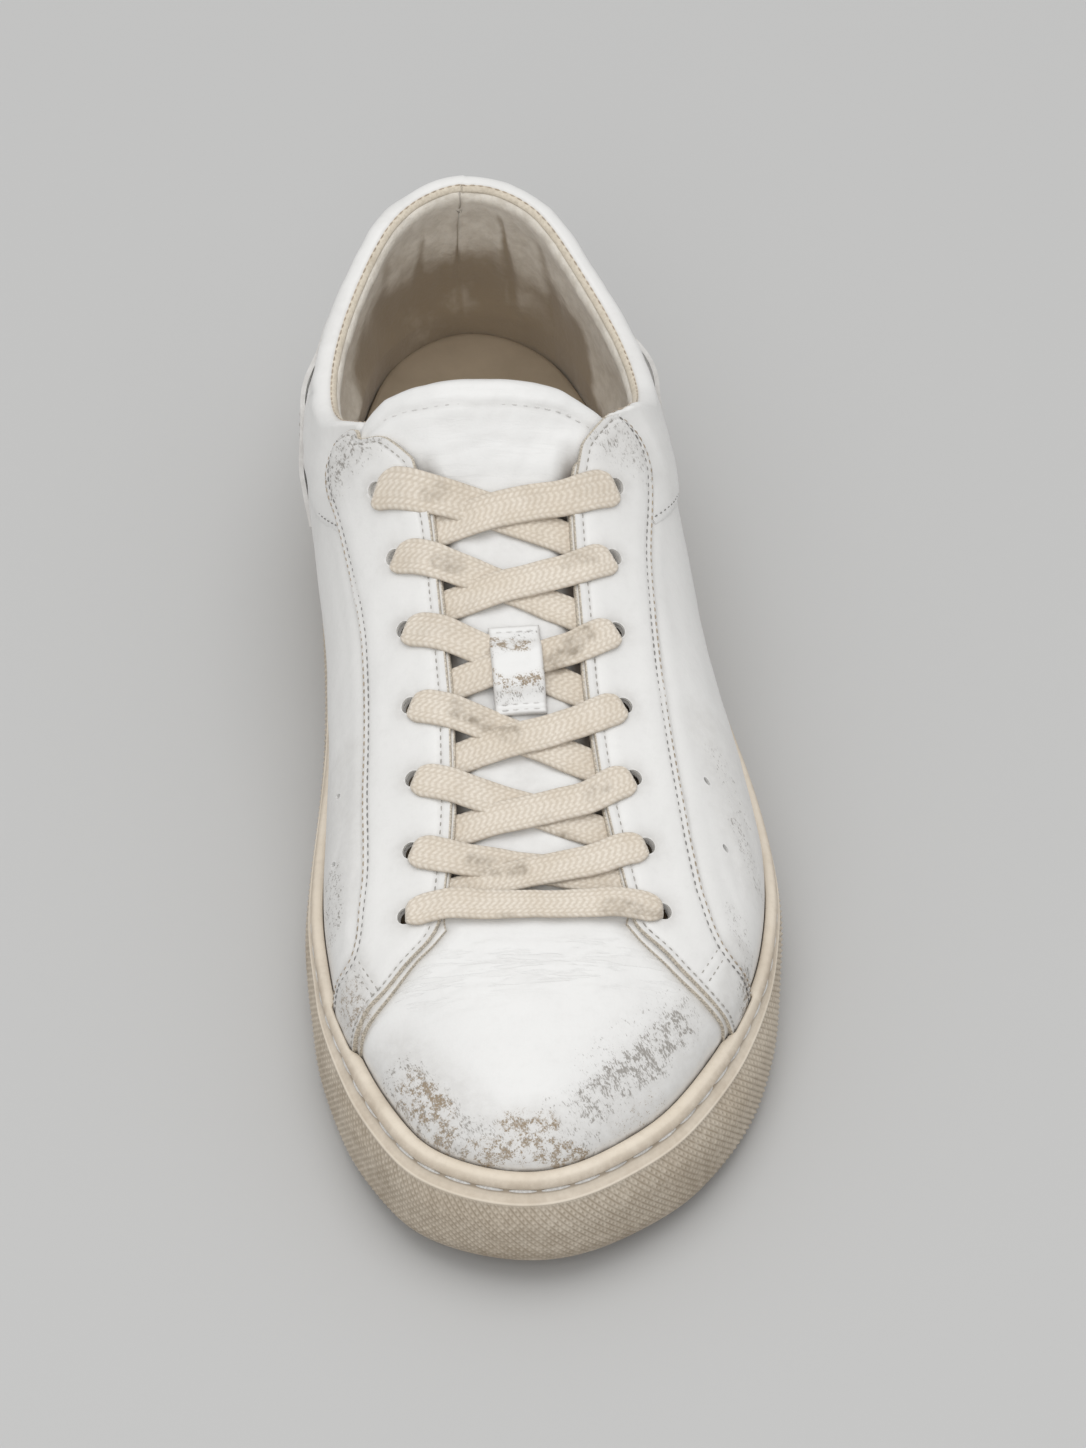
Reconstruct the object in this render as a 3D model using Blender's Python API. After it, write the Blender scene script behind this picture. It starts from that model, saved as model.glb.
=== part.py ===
"""A worn low sneaker for the left foot: cup sole, footbed, hollow leather upper, heel counter, tongue and lace.

The shoe stands on z = 0 with its toe towards -Y, its heel towards +Y and its outer side towards +X. Every
curved piece is worked out from the same last: a plan outline and a row of sections, both told by their distance
"along" the shoe from the back of the heel. A point of the last is named by its place round the outline and by
its sweep, which runs from 0 at the rim of the sole to a quarter turn at the ridge over the instep.
"""
from collections import namedtuple

import bmesh
import bpy
import numpy as np

MM = 0.001
QUARTER = np.pi / 2

# Driving dimensions, in millimetres.
LENGTH = 298.0
WALL = 2.0              # leather and lining of the upper
COLLAR_PADDING = 4.5    # what the padding adds to the wall at the collar
COLLAR_FRONT = 103.0    # along, where the padding has run out
COLLAR_FADE = 14.0      # the length over which it does so
PADDING_START, PADDING_RISE = 0.45, 0.4     # shares of the way up the wall at which it begins and fills out
GAP = 0.3               # kept between pieces that touch
COUNTER_THICK = 1.2
COUNTER_GAP = 0.45
COUNTER_LIFT = 2.2      # its foot's height over the rim
COUNTER_FRONT = 88.0    # along, where the heel counter ends on either side
CUP_WALL_HEEL = 5.2     # how far the sole's side stands out from the upper
CUP_WALL_SIDE = 4.3
CUP_WALL_TOE = 7.8
TOE_WALL_START = 215.0
TOE_WALL_LENGTH = 50.0
INSOLE_THICK = 4.5
INSOLE_EDGE = 0.8       # its rounded top edge
TOE_SPRING = 7.0
SPRING_START = 222.0
HEEL_BEVEL = 1.5
HEEL_BEVEL_LENGTH = 14.0
ARCH_RISE = 1.3
ARCH_START, ARCH_END = 104.0, 162.0
THROAT_END = 234.0      # along, the toe end of the opening under the lace
THROAT_SHARE = 0.45     # where the facing line runs on over the vamp, as a share of the half width
FLARE_RISE = 20.0       # height over the rim at which the wall has leaned out in full
HEEL_PIVOT = 46.0       # along, where the ridge ends over the heel
TOE_PIVOT = 262.0       # along, where the ridge ends over the toe
TOE_FAN_START = 205.0
STATIONS = 36
WALL_ROWS = 9
ROW_POWER = 1.4         # spaces the rows of a wall about evenly by height
UPPER_KNEE = 1.5        # how far below the rim the upper starts to bend in
VAMP_ROWS = 4
COUNTER_COLUMNS = 31
COUNTER_ROWS = 8
THROAT_SINK = 1.6       # how far the middle of the tongue lies under the last's own curve
TONGUE_THICK = 3.0
TONGUE_ROWS, TONGUE_COLUMNS = 15, 13
LACE_WIDTH = 8.0
LACE_THICK = 1.2
LACE_STEPS = 14
LACE_OVER = 0.35        # height of a strap's underside over the facing
LACE_RETURN = 1.7       # how far above an eyelet the lace comes out again from under the facing's edge
LACE_BED = -1.75        # height of a strap's underside on the tongue, from the leather's surface
LACE_CROSS = 0.75       # how much higher the strap on top lies where two cross
LACE_UNDER = -0.45      # and the same where it comes out from under the facing
LACE_TO_BAR = 1.1       # how much higher it comes out under the bar, which lies flat across the opening
LACE_START = 2.4        # how far inside the facing's edge it starts
LACE_LEVEL = 6.0        # half the length that lies flat on the tongue
LOOP_START, LOOP_END = 163.2, 183.5
LOOP_WIDTH = 12.0
LOOP_THICK = 1.3
LOOP_ARCH = ([0, 0.10, 0.85, 1], [-WALL, 1.0, 1.0, -WALL])

Outline = namedtuple("Outline", "along outer inner")
OUTLINE = [
    Outline(14, 19.0, 18.8),
    Outline(30, 28.5, 28.0),
    Outline(55, 35.8, 35.0),
    Outline(85, 40.0, 38.0),
    Outline(115, 44.5, 39.2),
    Outline(145, 48.0, 41.5),
    Outline(170, 52.0, 45.0),
    Outline(203, 54.3, 49.6),
    Outline(222, 51.8, 49.5),
    Outline(235, 48.2, 48.3),
    Outline(252, 40.6, 44.3),
    Outline(262, 34.6, 41.2),
    Outline(275, 24.6, 35.4),
    Outline(284, 13.0, 27.8),
]
HEEL_POINT = (5.0, 0.0)
TOE_POINT = (291.2, -7.0)

Section = namedtuple("Section", "along rim crown ridge fullness flare_outer flare_inner")
SECTIONS = [
    Section(0, 31.0, 118.0, 0.0, 2.0, 1.2, 1.2),
    Section(40, 30.5, 118.0, -0.8, 2.0, 2.0, 5.4),
    Section(70, 29.5, 117.0, -1.6, 2.05, 4.8, 8.0),
    Section(95, 28.5, 110.0, -1.6, 2.2, 3.8, 7.6),
    Section(110, 28.0, 101.0, -1.4, 2.4, 2.2, 6.6),
    Section(132, 27.0, 86.5, -1.4, 2.3, 1.0, 5.0),
    Section(150, 26.5, 79.5, -1.4, 2.25, 0.4, 4.0),
    Section(172, 26.0, 72.5, -1.4, 2.2, 0.0, 2.0),
    Section(206, 26.0, 62.0, -1.6, 2.2, 0.0, 0.4),
    Section(234, 26.8, 53.5, -2.2, 2.2, 0.0, 0.0),
    Section(262, 28.8, 46.5, -4.0, 2.3, 0.0, 0.0),
    Section(298, 30.5, 40.0, -6.0, 2.3, 0.0, 0.0),
]

Edge = namedtuple("Edge", "along height")
COLLAR = [Edge(0, 79), Edge(20, 76.5), Edge(45, 70), Edge(68, 67), Edge(84, 70), Edge(95, 77.5), Edge(103, 85),
          Edge(110, 91), Edge(118, 100)]
COUNTER_TOP = [Edge(0, 60), Edge(30, 63), Edge(58, 62), Edge(68, 54), Edge(79, 43), Edge(88, 37)]
CUP_FLOOR = [Edge(0, 19.5), Edge(60, 18), Edge(110, 14.5), Edge(160, 12), Edge(222, 12), Edge(260, 14),
             Edge(298, 19)]

# Rings of the sole's side, from the tread's edge over the rim into the cup. Each lies outside the upper's
# outline by a share of the wall's reach and some more, at a rise over the ground or over the rim.
SideRing = namedtuple("SideRing", "share out base rise")
SOLE_SIDE = [
    SideRing(1.0, -2.2, "ground", 0.0),
    SideRing(1.0, -0.4, "ground", 1.6),
    SideRing(1.0, 0.0, "ground", 5.5),
    SideRing(1.0, -0.4, "rim", -10.0),
    SideRing(0.78, 0.0, "rim", -6.8),
    SideRing(0.70, 0.0, "rim", -5.6),
    SideRing(0.0, 3.1, "rim", -1.3),
    SideRing(0.0, 2.4, "rim", -0.2),
    SideRing(0.0, 1.3, "rim", 0.0),
    SideRing(0.0, GAP, "rim", -1.0),
]
TREAD_SHARES = (1.0, 0.62, 0.22)    # how far the tread's inner rings are drawn towards the middle
CUP_SHARES = (0.4, 1.0)

Throat = namedtuple("Throat", "along half_gap")
THROAT = [Throat(108, 33.5), Throat(113, 25), Throat(120, 19.2), Throat(132, 16.0), Throat(150, 15.5),
          Throat(180, 15.2), Throat(206, 16.7), Throat(220, 18.6), Throat(234, 21.0)]

Eyelet = namedtuple("Eyelet", "outer outer_reach inner inner_reach")
EYELETS = [Eyelet(234.3, 28.8, 229.9, 29.5), Eyelet(217.9, 26.2, 213.9, 27.4), Eyelet(201.1, 24.6, 196.4, 25.6),
           Eyelet(182.8, 24.1, 177.8, 25.0), Eyelet(163.4, 24.2, 158.2, 24.8), Eyelet(144.2, 25.2, 139.1, 25.7),
           Eyelet(126.6, 27.4, 122.1, 28.7)]

TongueRow = namedtuple("TongueRow", "along half_width sink")
TONGUE = [TongueRow(105.4, 21, 0.6), TongueRow(106.6, 25, 0.9), TongueRow(109, 28.0, 1.3),
          TongueRow(114, 30.0, 1.5), TongueRow(125, 31.0, 0.3), TongueRow(150, 28, 0), TongueRow(222, 27, 0),
          TongueRow(234, 27, 0.5), TongueRow(246, 27, 0.6)]


def column(rows, name):
    """One named column of a table, with the column of distances along."""
    return np.array([row.along for row in rows], float), np.array([getattr(row, name) for row in rows], float)


def spline(x, knots, values):
    """Natural cubic spline through the knots."""
    n, step = len(knots), np.diff(knots)
    matrix, right = np.eye(n), np.zeros(n)
    for i in range(1, n - 1):
        matrix[i, i - 1:i + 2] = step[i - 1], 2 * (step[i - 1] + step[i]), step[i]
        right[i] = 6 * ((values[i + 1] - values[i]) / step[i] - (values[i] - values[i - 1]) / step[i - 1])
    bend = np.linalg.solve(matrix, right)
    x = np.asarray(x, float)
    i = np.clip(np.searchsorted(knots, x) - 1, 0, n - 2)
    ahead, behind, h = knots[i + 1] - x, x - knots[i], step[i]
    return ((bend[i] * ahead ** 3 + bend[i + 1] * behind ** 3) / (6 * h)
            + (values[i] / h - bend[i] * h / 6) * ahead + (values[i + 1] / h - bend[i + 1] * h / 6) * behind)


def smooth(rows, name, along):
    return spline(along, *column(rows, name))


def straight(rows, name, along):
    return np.interp(along, *column(rows, name))


def closed_outline(count=1440):
    """The upper's outline at the rim as (x, along) points, from the back of the heel round the outer side."""
    ring = [HEEL_POINT[::-1]] + [(row.outer, row.along) for row in OUTLINE]
    ring += [TOE_POINT[::-1]] + [(-row.inner, row.along) for row in reversed(OUTLINE)]
    points = np.array(ring * 3, float)
    apart = np.sqrt(np.linalg.norm(np.diff(points, axis=0), axis=1))
    knots = np.concatenate([[0], np.cumsum(apart)])
    n = len(ring)
    place = np.linspace(knots[n], knots[2 * n], count, endpoint=False)
    points = np.stack([spline(place, knots, points[:, axis]) for axis in (0, 1)], 1)
    return np.roll(points, -int(np.argmin(points[:, 1])), axis=0)


RING = closed_outline()
RING_PLACE = np.linspace(0, 1, len(RING), endpoint=False)
TOE_INDEX = int(np.argmax(RING[:, 1]))
TOE_PLACE = RING_PLACE[TOE_INDEX]


def on_ring(place):
    """(x, along) at a place round the outline, 0 at the heel and back to 1."""
    return np.stack([np.interp(np.mod(place, 1), RING_PLACE, RING[:, axis], period=1) for axis in (0, 1)], -1)


def ring_normal(place, step=0.004):
    """The outward normal in plan, as (x, along)."""
    run = on_ring(place + step) - on_ring(place - step)
    normal = np.stack([run[..., 1], -run[..., 0]], -1)
    return normal / np.linalg.norm(normal, axis=-1, keepdims=True)


def place_of(along, outer):
    """The place round the outline of the station at this distance along, on one side."""
    along = np.clip(along, RING[0, 1], RING[TOE_INDEX, 1])
    if outer:
        return np.interp(along, RING[:TOE_INDEX + 1, 1], RING_PLACE[:TOE_INDEX + 1])
    back = RING[TOE_INDEX:][::-1]
    return np.interp(along, np.append(RING[0, 1], back[:, 1]), np.append(1.0, RING_PLACE[TOE_INDEX:][::-1]))


def soft_ramp(x, width):
    """Zero below 0 and x above it, with the corner rounded over the width."""
    return width * np.logaddexp(0, x / width)


def ridge_along(along):
    """Where on the ridge the section that starts at this station ends: sections fan at the heel and the toe."""
    toe = RING[TOE_INDEX, 1]
    share = np.clip((along - TOE_FAN_START) / (toe - TOE_FAN_START), 0, 1)
    span, reach, end_slope = toe - TOE_FAN_START, TOE_PIVOT - TOE_FAN_START, 0.15
    fanned = (TOE_FAN_START + (share ** 3 - 2 * share ** 2 + share) * span + (3 - 2 * share) * share ** 2 * reach
              + (share ** 3 - share ** 2) * end_slope * span)
    return np.where(along > TOE_FAN_START, fanned, along + soft_ramp(HEEL_PIVOT - along, 10.0))


def side_of(place):
    return np.where(np.mod(place, 1) < TOE_PLACE, 1.0, -1.0)


def flare_of(place, along):
    """How far the wall leans out above the rim, before it turns in."""
    outer, inner = (smooth(SECTIONS, name, along) for name in ("flare_outer", "flare_inner"))
    return np.maximum(np.where(side_of(place) > 0, outer, inner), 0)


def crown_slope(along):
    return (smooth(SECTIONS, "crown", along + 1) - smooth(SECTIONS, "crown", along - 1)) / 2


def bare_last(place, sweep):
    """A point of the last's surface, as (x, along, z). Ahead of the ridge's end it falls on as the ridge does."""
    start = on_ring(place)
    along = start[..., 1]
    there = ridge_along(along)
    end = np.stack([smooth(SECTIONS, "ridge", there), there], -1)
    power = 2 / smooth(SECTIONS, "fullness", there)
    inward = 1 - np.cos(sweep) ** power
    rim = smooth(SECTIONS, "rim", along)
    z = rim + (smooth(SECTIONS, "crown", there) - rim) * np.sin(sweep) ** power
    lean = np.clip((z - rim) / FLARE_RISE, 0, 1)
    out = flare_of(place, along) * lean * (2 - lean) * (1 - inward)
    plan = start + (end - start) * inward[..., None] + ring_normal(place) * out[..., None]
    fall = crown_slope(there) * np.maximum(plan[..., 1] - there, 0) * np.sin(sweep) ** power
    return np.concatenate([plan, (z + fall)[..., None]], -1)


def last(place, sweep, depth=0.0):
    """A point under (or, with a negative depth, over) the last's surface, as (x, along, z)."""
    place, sweep, depth = np.broadcast_arrays(np.asarray(place, float), sweep, depth)
    point = bare_last(place, sweep)
    near = np.clip(sweep, 0.02, QUARTER - 0.02)
    round_it = bare_last(place + 0.002, near) - bare_last(place - 0.002, near)
    up_it = bare_last(place, near + 0.01) - bare_last(place, near - 0.01)
    normal = np.cross(round_it, up_it)
    slope = crown_slope(point[..., 1])
    on_ridge = np.stack([0 * slope, -slope, 1 + 0 * slope], -1)
    normal = np.where((sweep > QUARTER - 1e-6)[..., None], on_ridge, normal)
    normal /= np.linalg.norm(normal, axis=-1, keepdims=True)
    return point - normal * depth[..., None]


def sweep_at_height(place, height):
    """The sweep at which the last reaches this height."""
    along = on_ring(place)[..., 1]
    rim = smooth(SECTIONS, "rim", along)
    there = ridge_along(along)
    share = np.clip((height - rim) / (smooth(SECTIONS, "crown", there) - rim), 0, 1)
    return np.arcsin(share ** (smooth(SECTIONS, "fullness", there) / 2))


def sweep_at_reach(place, reach):
    """The sweep at which the last is this far from the ridge."""
    start = on_ring(place)
    there = ridge_along(start[..., 1])
    half = np.abs(start[..., 0] - smooth(SECTIONS, "ridge", there)) + flare_of(place, start[..., 1])
    return np.arccos(np.clip(reach / half, 0, 1) ** (smooth(SECTIONS, "fullness", there) / 2))


def opening_sweep(place):
    """Where the upper ends: at the collar's height or the facing's edge, and over the vamp along that edge's line."""
    along = on_ring(place)[..., 1]
    collar = sweep_at_height(place, smooth(COLLAR, "height", along))
    facing = sweep_at_reach(place, straight(THROAT, "half_gap", along))
    there = ridge_along(along)
    vamp = np.arccos(THROAT_SHARE ** (smooth(SECTIONS, "fullness", there) / 2))
    facing = np.where(along < THROAT[0].along, QUARTER, facing)
    behind = np.where(along < COLLAR[-1].along, np.minimum(collar, facing), facing)
    return np.where(along > THROAT_END + 1e-6, vamp, behind)


def stations():
    """Distances along, evenly spaced round the outer half of the outline, one of them at the throat's end."""
    half = RING[:TOE_INDEX + 1]
    run = np.concatenate([[0], np.cumsum(np.linalg.norm(np.diff(half, axis=0), axis=1))])
    along = np.interp(np.linspace(0, run[-1], STATIONS + 1), run, half[:, 1])
    along[np.argmin(np.abs(along - THROAT_END))] = THROAT_END
    return along


STATION = stations()
THROAT_STATION = int(np.argmin(np.abs(STATION - THROAT_END)))
PLACES = np.concatenate([place_of(STATION, True), place_of(STATION[-2:0:-1], False)])


def to_world(points):
    """From (x, along, z) in millimetres to Blender's metres, with the shoe's box centred on the origin."""
    points = np.asarray(points, float)
    return np.stack([points[..., 0] - CENTRE[0], CENTRE[1] - points[..., 1], points[..., 2]], -1) * MM


def cup_wall(along):
    """How far the sole's side stands out from the upper."""
    heel = CUP_WALL_SIDE + (CUP_WALL_HEEL - CUP_WALL_SIDE) * np.clip(1 - along / 60, 0, 1)
    toe = np.clip((along - TOE_WALL_START) / TOE_WALL_LENGTH, 0, 1)
    return heel + (CUP_WALL_TOE - CUP_WALL_SIDE) * toe * toe * (3 - 2 * toe)


def ground(along):
    """Height of the sole's underside: level under heel and forefoot, raised at the arch and at either end."""
    spring = TOE_SPRING * np.clip((along - SPRING_START) / (LENGTH - SPRING_START), 0, 1) ** 2
    bevel = HEEL_BEVEL * np.clip(1 - along / HEEL_BEVEL_LENGTH, 0, 1) ** 2
    arch = ARCH_RISE * np.sin(np.pi * np.clip((along - ARCH_START) / (ARCH_END - ARCH_START), 0, 1)) ** 2
    return spring + bevel + arch


def offset_ring(out, height):
    """The outline moved outwards, as (x, along, z)."""
    plan = on_ring(PLACES) + ring_normal(PLACES) * np.broadcast_to(out, PLACES.shape)[:, None]
    return np.column_stack([plan, np.broadcast_to(height, PLACES.shape)])


def middle_of_box():
    """The middle of the sole's box in plan, as (x, along)."""
    edge = offset_ring(cup_wall(on_ring(PLACES)[:, 1]), 0.0)[:, :2]
    return (edge.min(axis=0) + edge.max(axis=0)) / 2


CENTRE = middle_of_box()


def shrunk_ring(ring, share, height):
    """A ring drawn towards the ridge line by a share of the way, at a height that depends on the distance along."""
    there = ridge_along(on_ring(PLACES)[:, 1])
    middle = np.column_stack([smooth(SECTIONS, "ridge", there), there])
    plan = ring[:, :2] + (middle - ring[:, :2]) * share
    return np.column_stack([plan, height(plan[:, 1])])


def add_node(name, mesh_builder, colour, roughness):
    """One object from a bmesh, with its own material."""
    bmesh.ops.recalc_face_normals(mesh_builder, faces=mesh_builder.faces)
    mesh = bpy.data.meshes.new(name)
    mesh_builder.to_mesh(mesh)
    mesh_builder.free()
    mesh.shade_smooth()
    mesh.set_sharp_from_angle(angle=np.radians(50))
    node = bpy.data.objects.new(name, mesh)
    bpy.context.collection.objects.link(node)
    material = bpy.data.materials.new(name)
    material.use_nodes = True
    shader = material.node_tree.nodes["Principled BSDF"]
    shader.inputs["Base Color"].default_value = (*colour, 1)
    shader.inputs["Roughness"].default_value = roughness
    shader.inputs["Metallic"].default_value = 0.0
    mesh.materials.append(material)
    return node


def put_rows(builder, rows, cyclic):
    """A grid of vertices and quads from rows of points; returns the vertices row by row."""
    grid = [[builder.verts.new(point) for point in to_world(row)] for row in rows]
    for lower, upper in zip(grid, grid[1:]):
        for i in range(len(lower) - (not cyclic)):
            j = (i + 1) % len(lower)
            builder.faces.new((lower[i], lower[j], upper[j], upper[i]))
    return grid


def ring_body(rows):
    """A closed body from rings whose first and last ring are drawn together on the ridge line."""
    builder = bmesh.new()
    put_rows(builder, rows, True)
    bmesh.ops.remove_doubles(builder, verts=builder.verts, dist=0.00001)
    return builder


def slab(top, under):
    """A closed body between two grids of points of the same size."""
    builder = bmesh.new()
    layers = [put_rows(builder, grid, False) for grid in (top, under)]
    edges = []
    for grid in layers:
        edges.append(grid[0] + [row[-1] for row in grid[1:]] + grid[-1][-2::-1]
                     + [row[0] for row in grid[-2:0:-1]])
    for i, corner in enumerate(edges[0]):
        j = (i + 1) % len(edges[0])
        builder.faces.new((corner, edges[1][i], edges[1][j], edges[0][j]))
    return builder


def cup_floor(along):
    return smooth(CUP_FLOOR, "height", along)


def make_sole():
    """The cup sole: tread, side, rounded rim and the floor that the footbed and the upper stand on."""
    along = on_ring(PLACES)[:, 1]
    base = {"ground": ground(along), "rim": smooth(SECTIONS, "rim", along)}
    side = [offset_ring(cup_wall(along) * ring.share + ring.out, base[ring.base] + ring.rise) for ring in SOLE_SIDE]
    side[0][:, 2] = ground(side[0][:, 1])
    cup = offset_ring(GAP, cup_floor(along))
    rows = ([shrunk_ring(side[0], share, ground) for share in TREAD_SHARES] + side + [cup]
            + [shrunk_ring(cup, share, cup_floor) for share in CUP_SHARES])
    return add_node("sole", ring_body(rows), (0.72, 0.66, 0.56), 0.6)


def insole_foot(along):
    return cup_floor(along) + GAP


def insole_top(along):
    return insole_foot(along) + INSOLE_THICK


def make_insole():
    """The footbed, which fills the cup's floor inside the upper's wall."""
    along = on_ring(PLACES)[:, 1]
    out = -(WALL + GAP)
    under, edge = offset_ring(out, insole_foot(along)), offset_ring(out, insole_top(along) - INSOLE_EDGE)
    over = offset_ring(out - INSOLE_EDGE, insole_top(along))
    rows = [shrunk_ring(under, share, insole_foot) for share in CUP_SHARES[::-1]] + [under, edge, over]
    rows += [shrunk_ring(over, share, insole_top) for share in CUP_SHARES]
    return add_node("insole", ring_body(rows), (0.42, 0.35, 0.27), 0.8)


def collar_padding(along, share):
    """What the padding adds to the wall: full at the collar's edge, none half way down and none at the facings."""
    fore = np.clip((COLLAR_FRONT - along) / COLLAR_FADE, 0, 1)
    up = np.clip((share - PADDING_START) / PADDING_RISE, 0, 1)
    return COLLAR_PADDING * fore * up * up * (3 - 2 * up)


def upper_layer(inner):
    """Rows of the upper's wall from its foot in the cup to the opening, then rows over the vamp up to the ridge."""
    along = on_ring(PLACES)[:, 1]
    rim = smooth(SECTIONS, "rim", along)
    out = -WALL if inner else 0.0
    rows = [offset_ring(out, cup_floor(along) + GAP), offset_ring(out, rim - UPPER_KNEE)]
    end = opening_sweep(PLACES)
    for j in range(1, WALL_ROWS + 1):
        share = j / WALL_ROWS
        depth = WALL + collar_padding(along, share) if inner else 0.0
        rows.append(last(PLACES, end * share ** ROW_POWER, depth))
    vamp = [last(PLACES, end + (QUARTER - end) * k / VAMP_ROWS, WALL if inner else 0.0)
            for k in range(1, VAMP_ROWS + 1)]
    return rows, vamp


def make_upper():
    """The leather wall: an outer and an inner layer of rows, joined along the foot and round the opening."""
    builder = bmesh.new()
    count = len(PLACES)
    front = range(THROAT_STATION, count - THROAT_STATION + 1)
    loops = []
    for inner in (False, True):
        rows, vamp = upper_layer(inner)
        wall = put_rows(builder, rows, True)
        patch = [[wall[-1][i] for i in front]]
        for points in vamp:
            patch.append([builder.verts.new(point) for point in to_world(points)[front.start:front.stop]])
        for lower, upper in zip(patch, patch[1:]):
            for i in range(len(lower) - 1):
                builder.faces.new((lower[i], lower[i + 1], upper[i + 1], upper[i]))
        rear = [wall[-1][i % count] for i in range(front.stop - 1, count + THROAT_STATION + 1)]
        base = [row[0] for row in patch[1:]] + [row[-1] for row in patch[-2:0:-1]]
        loops.append((wall[0], rear + base))
    for outside, inside in zip(*loops):
        for i, corner in enumerate(outside):
            j = (i + 1) % len(outside)
            builder.faces.new((corner, outside[j], inside[j], inside[i]))
    bmesh.ops.remove_doubles(builder, verts=builder.verts, dist=0.00001)
    return add_node("upper", builder, (0.82, 0.82, 0.82), 0.45)


def make_heel_counter():
    """A leather overlay round the heel, between two offsets of the last, standing on the sole's rim."""
    places = np.linspace(place_of(COUNTER_FRONT, False) - 1, place_of(COUNTER_FRONT, True), COUNTER_COLUMNS)
    low = sweep_at_height(places, smooth(SECTIONS, "rim", on_ring(places)[:, 1]) + COUNTER_LIFT)
    high = sweep_at_height(places, straight(COUNTER_TOP, "height", on_ring(places)[:, 1]))
    sweeps = [low + (high - low) * share ** ROW_POWER for share in np.linspace(0, 1, COUNTER_ROWS)]
    layers = [[last(places, sweep, -depth) for sweep in sweeps] for depth in (COUNTER_GAP + COUNTER_THICK, COUNTER_GAP)]
    return add_node("heel_counter", slab(*layers), (0.82, 0.82, 0.82), 0.45)


def across(along, reach, depth):
    """A point at a signed distance from the ridge, on the section at this distance along.

    Between the facings the lace holds everything down, so the surface sinks there towards the middle."""
    along, reach, depth = np.broadcast_arrays(np.asarray(along, float), reach, depth)
    gap = straight(THROAT, "half_gap", along)
    depth = depth + THROAT_SINK * np.clip(1 - (reach / gap) ** 2, 0, 1)
    place = np.where(reach > 0, place_of(along, True), place_of(along, False))
    return last(place, sweep_at_reach(place, np.abs(reach)), depth)


def tongue_grid(depth):
    """Rows of points across the tongue: the first ones close together, for its rounded top."""
    alongs = [row.along for row in TONGUE[:3]] + list(np.linspace(TONGUE[3].along, TONGUE[-1].along, TONGUE_ROWS))
    shares = np.linspace(-1, 1, TONGUE_COLUMNS)
    return [across(along, shares * straight(TONGUE, "half_width", along), depth + straight(TONGUE, "sink", along))
            for along in alongs]


def make_tongue():
    """A padded slab just under the facings, held down between them."""
    top = WALL + GAP
    return add_node("tongue", slab(tongue_grid(top), tongue_grid(top + TONGUE_THICK)), (0.84, 0.84, 0.83), 0.5)


def make_lace_loop():
    """A leather keeper sewn to the middle of the tongue at both ends, with a crossing of the lace under it."""
    shares = np.linspace(0, 1, 12)
    lift = np.interp(shares, *LOOP_ARCH)
    aside = np.linspace(-0.5, 0.5, 5) * LOOP_WIDTH
    layers = [[across(LOOP_START + (LOOP_END - LOOP_START) * share, aside, -(rise + extra))
               for share, rise in zip(shares, lift)] for extra in (LOOP_THICK, 0.0)]
    return add_node("lace_loop", slab(*layers), (0.72, 0.71, 0.69), 0.6)


def lace_run(start, end, heights):
    """A flat strap between two (along, reach) points, at heights over the leather's surface."""
    share = np.linspace(0, 1, LACE_STEPS + 1)
    along = start[0] + (end[0] - start[0]) * share
    reach = start[1] + (end[1] - start[1]) * share
    rise = np.interp(reach, *heights)
    run = np.array([end[0] - start[0], end[1] - start[1]])
    aside = np.array([-run[1], run[0]]) / np.linalg.norm(run) * LACE_WIDTH / 2
    layers = []
    for extra in (LACE_THICK, 0.0):
        layers.append([across(a + aside[0] * np.array([-1, 0, 1]), r + aside[1] * np.array([-1, 0, 1]), -(h + extra))
                       for a, r, h in zip(along, reach, rise)])
    return slab(*layers)


def bottom_bar():
    """The straight strap over the bottom eyelets, level with the facings all the way."""
    row = EYELETS[0]
    shares = np.linspace(-1, 1, 7)
    heights = LACE_OVER + 0.1 + THROAT_SINK * (1 - shares ** 2)
    reaches = straight(THROAT, "half_gap", row.inner) * shares
    return lace_run((row.inner, -row.inner_reach), (row.outer, row.outer_reach), (reaches, heights))


def crossing_strap(from_along, side, end, reach, under, middle):
    """A strap from under the facing on one side (1 outer, -1 inner), across the tongue, to the opposite eyelet."""
    along = min(from_along - LACE_RETURN, THROAT_END - 0.7 * LACE_WIDTH)
    gap = straight(THROAT, "half_gap", along)
    reaches = side * np.array([-gap - 9, -gap + 2.5, -LACE_LEVEL, LACE_LEVEL, gap])
    heights = np.array([LACE_OVER, LACE_OVER + 0.2, middle, middle, under])
    order = np.argsort(reaches)
    return lace_run((along, side * (gap - LACE_START)), (end, -side * reach), (reaches[order], heights[order]))


def lace_runs():
    """The bar over the bottom eyelets and a pair of crossing straps up to every further pair of eyelets."""
    runs = [bottom_bar()]
    for near, far in zip(EYELETS, EYELETS[1:]):
        under = LACE_UNDER + (LACE_TO_BAR if near is EYELETS[0] else 0.0)
        runs.append(crossing_strap(near.outer, 1, far.inner, far.inner_reach, under, LACE_BED))
        runs.append(crossing_strap(near.inner, -1, far.outer, far.outer_reach, under, LACE_BED + LACE_CROSS))
    return runs


def join_runs(name, runs, colour, roughness):
    """One object from crossing straps, united by Boolean modifiers that are then applied."""
    whole, *others = [add_node(f"{name}_{i}", run, colour, roughness) for i, run in enumerate(runs)]
    for other in others:
        union = whole.modifiers.new("join", "BOOLEAN")
        union.operation = "UNION"
        union.object = other
    graph = bpy.context.evaluated_depsgraph_get()
    mesh = bpy.data.meshes.new_from_object(whole.evaluated_get(graph))
    whole.modifiers.clear()
    whole.data = mesh
    whole.name = mesh.name = name
    for other in others:
        bpy.data.objects.remove(other)
    return whole


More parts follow.
